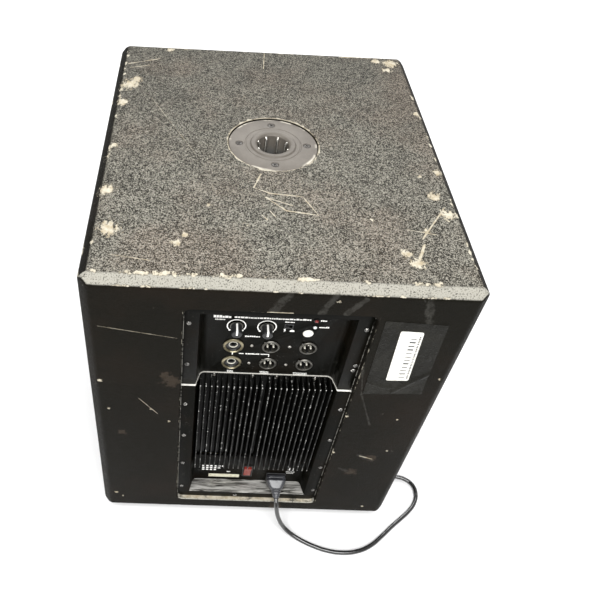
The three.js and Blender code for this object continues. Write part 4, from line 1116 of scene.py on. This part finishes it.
def anodised():
    look, place = begin("black_anodised")
    y, z = place.axes()[1:]
    drawn = place.vector("MULTIPLY", (900, 900, 14)).noise(1.0, 3, 0.6)
    at_tip = y.rise(fins_high.y - 0.0012, fins_high.y - 0.0003)
    off_middle = (z - (fins_high.z + fins_low.z) / 2).absolute()
    at_end = off_middle.rise(fins_half - 0.0014, fins_half - 0.0004)
    long_rubs = place.vector("MULTIPLY", (120, 40, 22)).noise(1.0, 4, 0.7, 0.6)
    chips = place.noise(260, 3, 0.8).rise(0.60, 0.66)
    # The fins' tips, and most of all their ends, are painted pale: rubbed metal, and painted highlight.
    tip_rub_and_glint = at_tip * (long_rubs.rise(0.40, 0.64) * 0.05 + long_rubs.rise(0.68, 0.75) * 0.6)
    worn = tip_rub_and_glint.most(at_tip * chips).most(at_end * at_tip * 0.95).most(at_end * chips * 0.7)
    worn = worn.most(place.noise(420, 2, 0.7).rise(0.74, 0.78) * 0.6)
    black = drawn.blend(colour(0.0018, 0.0018, 0.0015), colour(0.0040, 0.0040, 0.0034))
    return shade(look, drawn, 0.00012, Base_Color=worn.blend(black, colour(0.72, 0.71, 0.68)),
                 Metallic=worn * 0.6, Specular_IOR_Level=0.12, Roughness=0.34 + worn * 0.08 + drawn * 0.1)


piece("finned_heatsink", soft(copied("heatsink"), 0.00025, 1, 40), anodised(),
      stands_for=["heatsink"])
slot_screws = [(x, web_face + 0.0001, fins_high.z - 0.0085) for x in (-0.067, -0.0159, 0.0159, 0.067)]
piece("heatsink_screws", screws_at(slot_screws, (0, 1, 0), 0.62), steel_look)


# ---- Sockets ----
# Two combined inputs with pale brass rings and black throats, and four round three-pin outputs in nickel
# shells. All are pushed in from behind and held by two small screws beside each middle one.
brass_look = plated("brass_ring", colour(0.33, 0.295, 0.20), 0.26)
contact_look = moulded("bright_contact", colour(0.62, 0.60, 0.52), colour(0.9, 0.88, 0.8), 0.25)
nickel_look = plated("nickel_shell", colour(0.165, 0.16, 0.145), 0.3)
throat_look = moulded("throat_plastic", grey(0.006), grey(0.02), 0.3)


def front_of(node):
    """The middle of a node's foremost face, and how far its back is behind it."""
    low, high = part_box(node)
    return ((low.x + high.x) / 2, high.y, (low.z + high.z) / 2), low.y - high.y


def about(middle, radius, degrees):
    """Places at these angles round a middle, in the plane of the panel."""
    return [(middle[0] + radius * math.cos(a), middle[1], middle[2] + radius * math.sin(a))
            for a in map(math.radians, degrees)]


def box_from(place, low, high):
    """A plain box whose two corners are given from a place."""
    return box_mesh(*([at + by for at, by in zip(place, corner)] for corner in (low, high)))


for i in (1, 2):
    front, back = front_of(f"input_socket_{i}")
    ring = turned([(0.0096, -0.0014), (0.0096, -0.0004), (0.0100, 0.0), (0.0106, -0.0004), (0.0110, -0.0005),
                   (0.0114, 0.0), (0.0122, -0.0002), (0.0129, -0.0009), (0.0130, -0.0018), (0.0116, -0.0018),
                   (0.0116, back), (0.0099, back)], front, "y", 72)
    stop = turned([(0.0047, -0.0040), (0.0047, -0.0031), (0.0052, -0.0027), (0.0058, -0.0031),
                   (0.0058, -0.0045)], front, "y", 48)
    piece(f"input_ring_{i}", ring, brass_look, stands_for=[f"input_socket_{i}"])
    piece(f"input_stop_{i}", stop, contact_look)
    throat = turned([(0.0098, -0.0020), (0.0092, -0.0030), (0.0068, -0.0040), (0.0058, -0.0044),
                     (0.0046, -0.0044), (0.0034, -0.0052), (0.0033, -0.0190), (0.0, -0.0195), (0.0, -0.0200),
                     (0.0040, -0.0200), (0.0098, -0.0048)], front, "y", 64)
    throat_slots = [turned([(0, -0.012), (0.0009, -0.012), (0.0009, 0.0), (0, 0.0)], place, "y", 16)
                    for place in about(front, 0.0067, (30, 150, 270))]
    piece(f"input_throat_{i}", carved(throat, throat_slots), throat_look)
    latch = box_from(front, (-0.0022, -0.0012, -0.0107), (0.0022, -0.0002, -0.0085))
    piece(f"input_latch_{i}", soft(latch, 0.0004), nickel_look)

for i in range(1, 5):
    front, back = front_of(f"output_socket_{i}")
    shell_ring = turned([(0.0085, -0.0160), (0.0085, -0.0008), (0.0088, -0.0002), (0.0094, 0.0),
                         (0.0100, -0.0004), (0.0106, -0.0005), (0.0110, -0.0009), (0.0114, -0.0014),
                         (0.0114, -0.0018), (0.0100, -0.0018), (0.0100, back), (0.0, back), (0.0, -0.0160)],
                        front, "y", 72)
    piece(f"output_shell_{i}", shell_ring, nickel_look, stands_for=[f"output_socket_{i}"])
    insert = turned([(0.0, -0.0130), (0.0074, -0.0130), (0.0082, -0.0118), (0.0082, -0.0150), (0.0, -0.0150)],
                    front, "y", 64)
    key = box_from(front, (-0.0011, -0.0125, -0.0083), (0.0011, -0.0010, -0.0068))
    piece(f"output_insert_{i}", gathered([insert, soft(key, 0.0003)]), throat_look)
    pins = [turned([(0.0, -0.0129), (0.0012, -0.0129), (0.0012, -0.0036), (0.0009, -0.0030), (0.0, -0.0028)],
                   place, "y", 20) for place in about(front, 0.0044, (90, 210, 330))]
    piece(f"output_pins_{i}", gathered(pins), contact_look)
    tab = box_from(front, (0.0066, -0.0014, 0.0088), (0.0094, -0.0001, 0.0105))
    piece(f"output_tab_{i}", soft(tab, 0.0004), nickel_look)
socket_screws = [(x, trough_floor + 0.0001, z)
                 for x, z in ((0.024, 0.407), (-0.0235, 0.4075), (0.0243, 0.3716), (-0.0235, 0.3707))]
piece("socket_screws", screws_at(socket_screws, (0, 1, 0), 0.5), steel_look)


# ---- Controls ----
# Two moulded knobs with a raised white pointer, a slide switch for the phase, and two indicator lamps with
# lens caps, all reached from the panel; the knobs turn, and the tab slides towards the panel's right.
KNOB_PROFILE = [  # radius, height over the base of the skirt
    (0.0, -0.0120), (0.0029, -0.0120), (0.0029, 0.0), (0.0067, 0.0), (0.0070, 0.0003), (0.0070, 0.0011),
    (0.0067, 0.0014), (0.0066, 0.0020), (0.0064, 0.0120), (0.0061, 0.0127), (0.0054, 0.0131),
    (0.0045, 0.0132), (0.0040, 0.0130), (0.0, 0.0130),
]
POINTER_LINE = [  # out of and up from the knob's base, and how far it stands proud in each way
    (0.0012, 0.0066, 0.0, 0.0009), (0.0118, 0.0064, 0.0012, 0.0009), (0.0130, 0.0054, 0.0009, 0.0),
    (0.0130, -0.0004, 0.0009, 0.0),
]
POINTER_HALF = 0.0011
knob_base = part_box("volume_knob")[1].y - 0.0140
KNOB_Z = 0.444
white_look = moulded("white_ink", colour(0.95, 0.94, 0.90), colour(0.78, 0.77, 0.72), 0.5, 900, 0.00004)
for name in ("volume_knob", "crossover_knob"):
    node_low, node_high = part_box(name)
    axis = Vector(((node_low.x + node_high.x) / 2, knob_base, KNOB_Z))
    knob = turned(KNOB_PROFILE, axis, "y", 72)
    grips = [turned([(0, 0.0032), (0.0006, 0.0032), (0.0006, 0.0150), (0, 0.0150)],
                    axis + Vector((0.0069 * math.cos(a), 0, 0.0069 * math.sin(a))), "y", 8)
             for a in angles(22, 0.5) if math.sin(a) < 0.93]
    knob = carved(knob, grips)
    body = f"{name}_body"
    piece(f"{name}_cap", knob, plastic_look, body=body, stands_for=[name])
    rim = turned([(0.0060, -0.0008), (0.0060, -0.0001), (0.0074, -0.0001), (0.0080, -0.0004),
                  (0.0080, -0.0008)], axis, "y", 56)
    piece(f"{name}_rim", rim, nickel_look, body=body)
    rings = []
    for out, up, proud_out, proud_up in POINTER_LINE:
        low_y, low_z = axis.y + out, axis.z + up
        rings.append([(axis.x + side * POINTER_HALF, y, z) for side, y, z in (
            (-1, low_y, low_z), (1, low_y, low_z), (1, low_y + proud_out, low_z + proud_up),
            (-1, low_y + proud_out, low_z + proud_up))])
    piece(f"{name}_pointer", loft(rings), white_look, body=body)

tab_low, tab_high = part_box("phase_switch_tab")
slide_tab = soft(box_mesh(tab_low, tab_high), 0.0004, 2)
RIDGE_STEP = 0.0010
ridges = [box_mesh((tab_low.x - 0.001, tab_high.y - 0.0006, tab_low.z + 0.0006 + RIDGE_STEP * j),
                   (tab_high.x + 0.001, tab_high.y + 0.001, tab_low.z + 0.0010 + RIDGE_STEP * j))
          for j in range(3)]
piece("slide_tab", carved(slide_tab, ridges), plastic_look, body="phase_tab_body",
      stands_for=["phase_switch_tab"])
slide_frame = carved(
    box_mesh((tab_low.x - 0.0055, trough_floor - 0.0005, tab_low.z - 0.0022),
             (tab_high.x + 0.0016, trough_floor + 0.0005, tab_high.z + 0.0022)),
    [box_mesh((tab_low.x - 0.0043, trough_floor - 0.003, tab_low.z - 0.0006),
              (tab_high.x + 0.0004, trough_floor + 0.003, tab_high.z + 0.0006))])
piece("slide_bezel", soft(slide_frame, 0.0002, 1), throat_look)


def lens_cap(name, deep, pale, painted_glow):
    look, place = begin(name)
    cloudy = place.noise(900, 2)
    return shade(look, cloudy, 0.00004, Base_Color=cloudy.blend(deep, pale), Roughness=0.18,
                 Emission_Color=deep, Emission_Strength=painted_glow, Coat_Weight=0.5)


LENS_PROFILE = [(0.0, -0.0200), (0.0012, -0.0200), (0.0012, -0.0068), (0.0023, -0.0068), (0.0023, -0.0016),
                (0.0021, -0.0008), (0.0015, -0.0002), (0.0007, 0.0), (0.0, 0.0)]
# Both caps are given a faint glow, although the amplifier has no power: painted light.
for name, slot, deep, pale, painted_glow in (
        ("clip_led", "red_lens", colour(0.17, 0.008, 0.008), colour(0.27, 0.014, 0.012), 0.02),
        ("limit_led", "clear_lens", colour(0.72, 0.76, 0.76), colour(0.92, 0.95, 0.93), 0.1)):
    centre = middle_of(name)
    lens_mesh = turned(LENS_PROFILE, (centre.x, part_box(name)[1].y, centre.z), "y", 36)
    piece(f"{name}_lens", lens_mesh, lens_cap(name, deep, pale, painted_glow), stands_for=[name])
    bezel = turned([(0.0023, 0.0), (0.0023, 0.0010), (0.0027, 0.0012), (0.0032, 0.0009), (0.0034, 0.0)],
                   (centre.x, trough_floor, centre.z), "y", 36)
    piece(f"{name}_bezel", bezel, throat_look)


# ---- Mains switch and inlet ----
# A red moulded rocker in a snap-in black frame, with one end pressed in, and beside it the moulded inlet
# that the lead plugs into; both sit low on the trough's floor.
frame_middle = middle_of("power_switch_frame")
bezel_levels = [  # height over the floor, outwards from the opening
    (-0.0060, 0.0061, 0.0139), (0.0006, 0.0061, 0.0139), (0.0012, 0.0066, 0.0144), (0.0014, 0.0074, 0.0156),
    (0.0012, 0.0079, 0.0161), (0.0004, 0.0081, 0.0163), (-0.0002, 0.0081, 0.0163), (-0.0002, 0.0068, 0.0148),
    (-0.0060, 0.0068, 0.0148),
]
bezel = loft([[(frame_middle.x + x, trough_floor + lift, frame_middle.z + z)
               for x, z in rounded_outline(-w, -h, w, h, 0.0012, 4)] for lift, w, h in bezel_levels],
             closed=True)
switch_body = box_mesh((frame_middle.x - 0.0067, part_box("power_switch_frame")[0].y, frame_middle.z - 0.0147),
                       (frame_middle.x + 0.0067, trough_floor - 0.0075, frame_middle.z + 0.0147))
piece("switch_frame", gathered([bezel, soft(switch_body, 0.0006)]), plastic_look,
      stands_for=["power_switch_frame"])


def red_moulding():
    look, place = begin("red_moulding")
    cloudy = place.noise(300, 3)
    dust = place.noise(140, 4, 0.75).rise(0.55, 0.75)
    tone = cloudy.blend(colour(0.16, 0.016, 0.012), colour(0.30, 0.035, 0.022))
    return shade(look, cloudy, 0.0001, Base_Color=(dust * 0.6).blend(tone, colour(0.33, 0.27, 0.23)),
                 Roughness=0.3 + dust * 0.3)


piece("rocker_key", soft(copied("power_rocker"), 0.0007, 3), red_moulding(),
      body="rocker_body", stands_for=["power_rocker"])
piece("inlet_housing", soft(copied("mains_inlet"), 0.0005, 2), plastic_look,
      stands_for=["mains_inlet"])


# ---- Plate screws ----
# Round-headed steel screws hold the two plates to the panel all round; their black has worn off the heads.
plate_screws = [(side * 0.104, lower_face if z < seam else plate_face, z)
                for side in (-1, 1) for z in (0.469, 0.3907, 0.3064, 0.2283, 0.1502, 0.078)]
plate_screws.append((-0.1052, plate_face, 0.4005))
plate_screws.append((0.018, lower_face, 0.0525))


def worn_screw():
    look, place = begin("worn_screw")
    worn = place.noise(620, 3, 0.7).rise(0.47, 0.60)
    return shade(look, worn, 0.00004, Metallic=worn * 0.9, Roughness=0.34 - worn * 0.08,
                 Base_Color=worn.blend(colour(0.012, 0.012, 0.011), colour(0.62, 0.60, 0.56)))


piece("plate_screw_heads", screws_at(plate_screws, (0, 1, 0), 0.72), worn_screw())


# ---- Panel print ----
# White screen print on the control panel and beside the mains switch. The lettering of the real one is
# left out: rows of plain bars stand for its titles, with scale arcs, dots and joining lines.
PRINT_LIFT = 0.00012


def flat_patch(points, lift=PRINT_LIFT):
    """A thin print or film with this outline of (x, z) points, lying on the floor of the trough."""
    return loft([[(x, trough_floor + reach, z) for x, z in points] for reach in (-0.00002, lift)])


def dashes(x_from, x_to, z, height, seed, shortest=0.0014, longest=0.0046, space=0.0007):
    """A line of text turned into plain bars of uneven length; X falls along the line."""
    chance = random.Random(seed)
    x, bars = x_from, []
    while x > x_to + shortest:
        length = min(chance.uniform(shortest, longest), x - x_to)
        tall = height * chance.choice((0.72, 0.86, 1.0))
        bars.append(flat_patch([(x - length, z), (x, z), (x, z + tall), (x - length, z + tall)]))
        x -= length + space
    return bars


def stroke(points, width):
    """A drawn line of even width through (x, z) points."""
    sides = ([], [])
    for i, point in enumerate(points):
        before = Vector(points[max(i - 1, 0)])
        after = Vector(points[min(i + 1, len(points) - 1)])
        normal = Vector((before.y - after.y, after.x - before.x)).normalized() * width / 2
        sides[0].append(Vector(point) + normal)
        sides[1].append(Vector(point) - normal)
    return flat_patch([tuple(p) for p in sides[0] + sides[1][::-1]])


def disc(x, z, radius, steps=20):
    return flat_patch([(x + radius * math.cos(a), z + radius * math.sin(a)) for a in angles(steps)])


TITLES = [  # from, to, foot, height, seed, shortest and longest bar, space between bars
    (0.0745, 0.0520, 0.4580, 0.0042, 3, 0.0026, 0.0040, 0.0005), (0.0495, -0.0430, 0.4586, 0.0026, 5),
    (0.0725, 0.0605, 0.4540, 0.0018, 8, 0.0012, 0.0024, 0.0004),
    (0.0340, 0.0156, 0.4240, 0.0022, 11, 0.0014, 0.0030, 0.0005),
    (-0.0118, -0.0235, 0.4536, 0.0018, 12, 0.0012, 0.0028, 0.0004),
    (-0.0540, -0.0615, 0.4580, 0.0024, 14, 0.0016, 0.0028, 0.0004),
    (-0.0540, -0.0680, 0.4460, 0.0024, 15, 0.0016, 0.0030, 0.0004),
    (0.0305, 0.0130, 0.3894, 0.0022, 17, 0.0014, 0.0030, 0.0005),
    (-0.0610, -0.0745, 0.0905, 0.0016, 21, 0.0016, 0.0030, 0.0005),
    (-0.0620, -0.0730, 0.0865, 0.0012, 22, 0.0016, 0.0030, 0.0005),
    (0.0330, 0.0270, 0.0850, 0.0030, 23, 0.0010, 0.0018, 0.0004),
]
SMALL_MARKS = [  # two small marks between the phase switch and the lamps
    [(-0.0142, 0.4422), (-0.0116, 0.4412), (-0.0126, 0.4382), (-0.0118, 0.4360), (-0.0146, 0.4386),
     (-0.0136, 0.4398)],
    [(-0.0252, 0.4368), (-0.0192, 0.4368), (-0.0196, 0.4392), (-0.0222, 0.4406), (-0.0248, 0.4392)],
]
JOINING_LINES = [
    [(0.0388, 0.3905), (0.0328, 0.3905)], [(0.0112, 0.3905), (0.0006, 0.3905), (0.0006, 0.3858)],
    [(0.047, 0.3935), (0.047, 0.3878)],
]
SCALE_RADIUS = 0.0112
prints = [bar for title in TITLES for bar in dashes(*title)]
for knob_x in (0.046, 0.009):
    knob_middle = (knob_x, 0, KNOB_Z)
    scale = about(knob_middle, SCALE_RADIUS, range(-38, 219, 6))
    prints.append(stroke([(x, z) for x, _, z in scale], 0.0014))
    prints += [disc(x, z, 0.0014) for x, _, z in about(knob_middle, SCALE_RADIUS + 0.0002, (-46, 226))]
prints += [flat_patch(points) for points in SMALL_MARKS]
prints += [stroke(points, 0.0013) for points in JOINING_LINES]
for label_x, half in ((0.0468, 0.0045), (0.0024, 0.0062), (-0.0440, 0.0090)):
    seed = int(label_x * 1000) + 90
    prints += dashes(label_x + half, label_x - half, 0.3530, 0.0017, seed, 0.0010, 0.0022, 0.0004)
    prints += dashes(label_x + half * 0.9, label_x - half * 1.05, 0.3506, 0.0016, seed + 5, 0.0010, 0.0024,
                     0.0004)
for row in range(3):
    foot = 0.1010 - 0.0058 * row
    head = 0.1046 - 0.0058 * row
    for mark in range(6 - row):
        start = 0.0730 - 0.0062 * mark
        prints.append(flat_patch([(start - 0.0042, foot), (start, foot), (start - 0.0004, head),
                                  (start - 0.0038, head)]))
for x in (-0.0646, -0.0700):
    prints.append(flat_patch([(x - 0.0022, 0.0960), (x, 0.0966), (x - 0.0006, 0.1046), (x - 0.0016, 0.1046)]))
piece("white_print", gathered(prints), white_look)


# ---- Labels ----
# A round white tag and a yellowed strip on the trough's floor, a white sticker with a scale of bars on the
# rear face, and under it a square of black tape, wrinkled and lifting at its lower edge.
def paper_tag(name, base, stained):
    look, place = begin(name)
    stain = place.noise(180, 4, 0.65).rise(0.45, 0.7)
    return shade(look, place.noise(900, 2), 0.00003, Base_Color=stain.blend(base, stained),
                 Roughness=0.5 + stain * 0.2)


tag_look = paper_tag("white_tag", colour(0.86, 0.85, 0.80), colour(0.66, 0.63, 0.55))
strip_look = paper_tag("yellowed_strip", colour(0.72, 0.70, 0.55), colour(0.55, 0.51, 0.36))
tag_points = [(-0.0425 + 0.0064 * math.cos(a), 0.4347 + 0.0064 * math.sin(a)) for a in angles(48)]
piece("round_tag", flat_patch(tag_points, lift=0.0003), tag_look)
strip_outline = rounded_outline(0.0125, 0.0690, 0.0615, 0.0780, 0.001, 4)
piece("yellow_strip", flat_patch(strip_outline, lift=0.0003), strip_look)
ink_look = moulded("grey_ink", colour(0.03, 0.03, 0.032), grey(0.12), 0.6, 900, 0.00003)


def on_rear(points, reach, lift):
    return loft([[(x, rear + level, z) for x, z in points] for level in (reach, lift)])


def between(corners, u, v):
    """The place at these shares of the way across and up a patch with four corners."""
    foot = Vector(corners[0]).lerp(Vector(corners[1]), u)
    head = Vector(corners[2]).lerp(Vector(corners[3]), u)
    return tuple(foot.lerp(head, v))


def across_patch(corners, columns, rows, bulge):
    """A thin sheet over four corners on the rear face; bulge tells its height over the face."""
    built = bmesh.new()
    grid = []
    for row in range(rows + 1):
        v = row / rows
        line = []
        for column in range(columns + 1):
            u = column / columns
            x, z = between(corners, u, v)
            line.append(built.verts.new((x, rear + bulge(u, v), z)))
        grid.append(line)
    for below, above_it in zip(grid, grid[1:]):
        for i in range(columns):
            built.faces.new((below[i], below[i + 1], above_it[i + 1], above_it[i]))
    thick = placed("sheet", mesh_of(built))
    grow = thick.modifiers.new("thickness", "SOLIDIFY")
    grow.thickness = 0.00012
    grow.offset = 0
    solid = bpy.data.meshes.new_from_object(thick.evaluated_get(bpy.context.evaluated_depsgraph_get()))
    bpy.data.objects.remove(thick)
    return solid


def tape_bulge(u, v):
    lower = max(0.0, 1 - v * 6)
    long_fold = math.exp(-(((v - 0.02) * 0.52 - (0.55 - u) * 0.28) / 0.016) ** 2) * (1 if u < 0.55 else 0)
    short_fold = math.exp(-((v - 0.10 - 0.4 * (u - 0.55) ** 2) / 0.014) ** 2) * (1 if u > 0.5 else 0)
    fold = (math.sin(u * 21 + v * 9) * 0.5 + math.sin(u * 47 - v * 14 + 1.3) * 0.3
            + math.sin(v * 60 + u * 12) * 0.25)
    folds = 0.0016 * long_fold + 0.0010 * short_fold
    return 0.0003 + lower * (0.0005 + 0.0006 * fold) + folds + 0.00008 * math.sin(u * 33 + v * 19)


def film(name):
    look, place = begin(name)
    weave = place.noise(24, 4, 0.6).rise(0.4, 0.7)
    bent = place.noise(75, 4, 0.7, 1.8)
    creases = bent.rise(0.48, 0.56) * (1 - bent.rise(0.56, 0.64))
    return shade(look, creases, 0.0004, Base_Color=(weave * 0.7 + creases * 0.3).blend(
        colour(0.0085, 0.0080, 0.0060), colour(0.020, 0.019, 0.015)), Roughness=0.3 + weave * 0.12,
        Specular_IOR_Level=0.08)


TAPE_CORNERS = ((-0.1973, 0.3587), (-0.1227, 0.3539), (-0.1920, 0.4925), (-0.1187, 0.4960))
piece("tape_patch", across_patch(TAPE_CORNERS, 60, 90, tape_bulge), film("black_tape"))
STICKER_CORNERS = [(-0.1730, 0.3858), (-0.1450, 0.3847), (-0.1400, 0.4797), (-0.1675, 0.4787)]
sticker_outline = []
for i, corner in enumerate(STICKER_CORNERS):
    here = Vector(corner)
    into = (here - Vector(STICKER_CORNERS[i - 1])).normalized()
    away = (Vector(STICKER_CORNERS[(i + 1) % 4]) - here).normalized()
    for step in range(6):
        share = step / 5
        start, end = here - into * 0.003, here + away * 0.003
        sticker_outline.append(tuple(start.lerp(here, share).lerp(here.lerp(end, share), share)))
piece("white_sticker", on_rear(sticker_outline, 0.0003, 0.0008), tag_look)


def sticker_bar(u_from, u_to, v, tall):
    """A printed bar between shares of the sticker's width, from its left, and of its height."""
    lower_right, lower_left, upper_left, upper_right = STICKER_CORNERS
    corners = (lower_left, lower_right, upper_left, upper_right)
    outline = [between(corners, u, at) for u, at in ((u_from, v), (u_to, v), (u_to, v + tall),
                                                     (u_from, v + tall))]
    return on_rear(outline, 0.0006, 0.00085)


marks = []
chance = random.Random(31)
for i in range(12):
    tall = chance.choice((0.014, 0.020, 0.026))
    marks.append(sticker_bar(0.50 + 0.03 * chance.random(), 0.76, 0.07 + 0.072 * i, tall))
for i in range(26):
    marks.append(sticker_bar(0.86, 0.93, 0.05 + 0.034 * i, chance.uniform(0.014, 0.026)))
piece("sticker_marks", gathered(marks), ink_look)


# ---- Inside ----
# The brace between the side panels, and the driver's frame, spider, coil and magnet. A pressed cover keeps
# air pressure off the amplifier; behind the plate are two boards, a transformer and two capacitors.
def board_wood():
    look, place = begin("bare_board")
    plies = place.vector("MULTIPLY", (9, 9, 700)).noise(1.0, 3, 0.6)
    grain = place.vector("MULTIPLY", (14, 220, 220)).noise(1.0, 4, 0.6)
    return shade(look, grain, 0.0003, Base_Color=(grain * 0.6 + plies * 0.4).rise(0.35, 0.65).blend(
        colour(0.36, 0.235, 0.13), colour(0.55, 0.40, 0.25)), Roughness=0.72)


def wound_coil(name, dark, light, turns_per_metre):
    look, place = begin(name)
    y = place.axes()[1]
    turns = (y * (math.tau * turns_per_metre)).wave()
    haze = place.noise(80, 3)
    return shade(look, turns, 0.0003, Base_Color=haze.blend(dark, light), Roughness=0.35 + haze * 0.2,
                 Metallic=0.4)


def ferrite_grey():
    look, place = begin("ferrite_grey")
    grain = place.noise(900, 3, 0.7)
    ground = place.vector("MULTIPLY", (30, 500, 30)).noise(1.0, 2)
    return shade(look, grain + ground * 0.4, 0.0002, Roughness=0.68,
                 Base_Color=grain.blend(colour(0.018, 0.018, 0.020), colour(0.055, 0.055, 0.06)))


def board_mask():
    look, place = begin("board_green")
    copper = place.cells(130.0, "DISTANCE_TO_EDGE").rise(0.05, 0.09, 1.0, 0.0)
    return shade(look, copper, 0.0001, Roughness=0.3 + copper * 0.1,
                 Base_Color=copper.blend(colour(0.012, 0.09, 0.035), colour(0.03, 0.16, 0.06)))


board_look = board_mask()
sleeve_look = moulded("sleeve", colour(0.012, 0.02, 0.05), colour(0.03, 0.05, 0.1), 0.3)
INSIDE = [  # node, look, slot, how far its edges are rounded
    ("cross_brace", board_wood(), "bare_board", 0.0010),
    ("driver_basket", moulded("frame_paint", colour(0.013, 0.013, 0.014), grey(0.04), 0.45, 600),
     "plain_steel", 0.0008),
    ("driver_spider", moulded("spider_cloth", colour(0.20, 0.13, 0.05), colour(0.30, 0.20, 0.09), 0.85, 1500),
     "treated_cloth", 0.0),
    ("voice_coil", wound_coil("coil_copper", colour(0.42, 0.17, 0.07), colour(0.6, 0.27, 0.12), 1400),
     "coil_copper", 0.0),
    ("magnet_top_plate", steel_look, "plain_steel", 0.0006),
    ("magnet_back_plate", steel_look, "plain_steel", 0.0010),
    ("ferrite_magnet", ferrite_grey(), "ferrite", 0.0015),
    ("amplifier_cover", moulded("cover_paint", grey(0.012), grey(0.05), 0.5, 500), "plain_steel", 0.0006),
    ("input_board", board_look, "board_green", 0.0003),
    ("power_board", board_look, "board_green", 0.0003),
    ("toroidal_transformer",
     wound_coil("winding_tape", colour(0.30, 0.24, 0.05), colour(0.42, 0.35, 0.10), 160), "coil_copper", 0.0012),
    ("filter_capacitor_1", sleeve_look, "black_plastic", 0.0010),
    ("filter_capacitor_2", sleeve_look, "black_plastic", 0.0010),
]
for node, look, slot, rounding in INSIDE:
    inner_mesh = soft(copied(node), rounding, 2) if rounding else copied(node)
    body = "cone_assembly" if node == "voice_coil" else "cabinet_body"
    piece(f"{node}_finished", inner_mesh, look, body=body, stands_for=[node])

# ---- Floor and light ----
# A plain pale floor, a bright even room, a broad lamp behind the cabinet and a soft one overhead.
floor_mesh = loft([[(-6, -6, z), (6, -6, z), (6, 6, z), (-6, 6, z)] for z in (-0.02, 0)])
floor = placed("floor", floor_mesh)
floor_look, place = begin("floor_paper")
shade(floor_look, Base_Color=place.noise(2, 2).blend(grey(0.93), grey(0.91)),
      Roughness=0.9, Specular_IOR_Level=0.1)
floor_mesh.materials.append(floor_look)


def lamp(name, place, aim, size, power):
    """A square soft lamp that faces the point it is aimed at."""
    light = bpy.data.lights.new(name, "AREA")
    light.shape = "RECTANGLE"
    light.size, light.size_y = size
    light.energy = power
    made = placed(name, light)
    made.location = place
    made.rotation_euler = (Vector(aim) - Vector(place)).to_track_quat("-Z", "Y").to_euler()


lamp("back_lamp", (-0.3, -2.2, 2.3), (0, 0, 0.4), (2.4, 1.6), 70)
lamp("overhead_lamp", (0.2, 1.7, 2.6), (0, 0.4, 0.2), (2.8, 2.0), 120)
room = bpy.data.worlds.new("room")
room.use_nodes = True
room.node_tree.nodes["Background"].inputs["Color"].default_value = grey(1)
room.node_tree.nodes["Background"].inputs["Strength"].default_value = 0.42
bpy.context.scene.world = room
bpy.context.scene.view_settings.view_transform = "Standard"
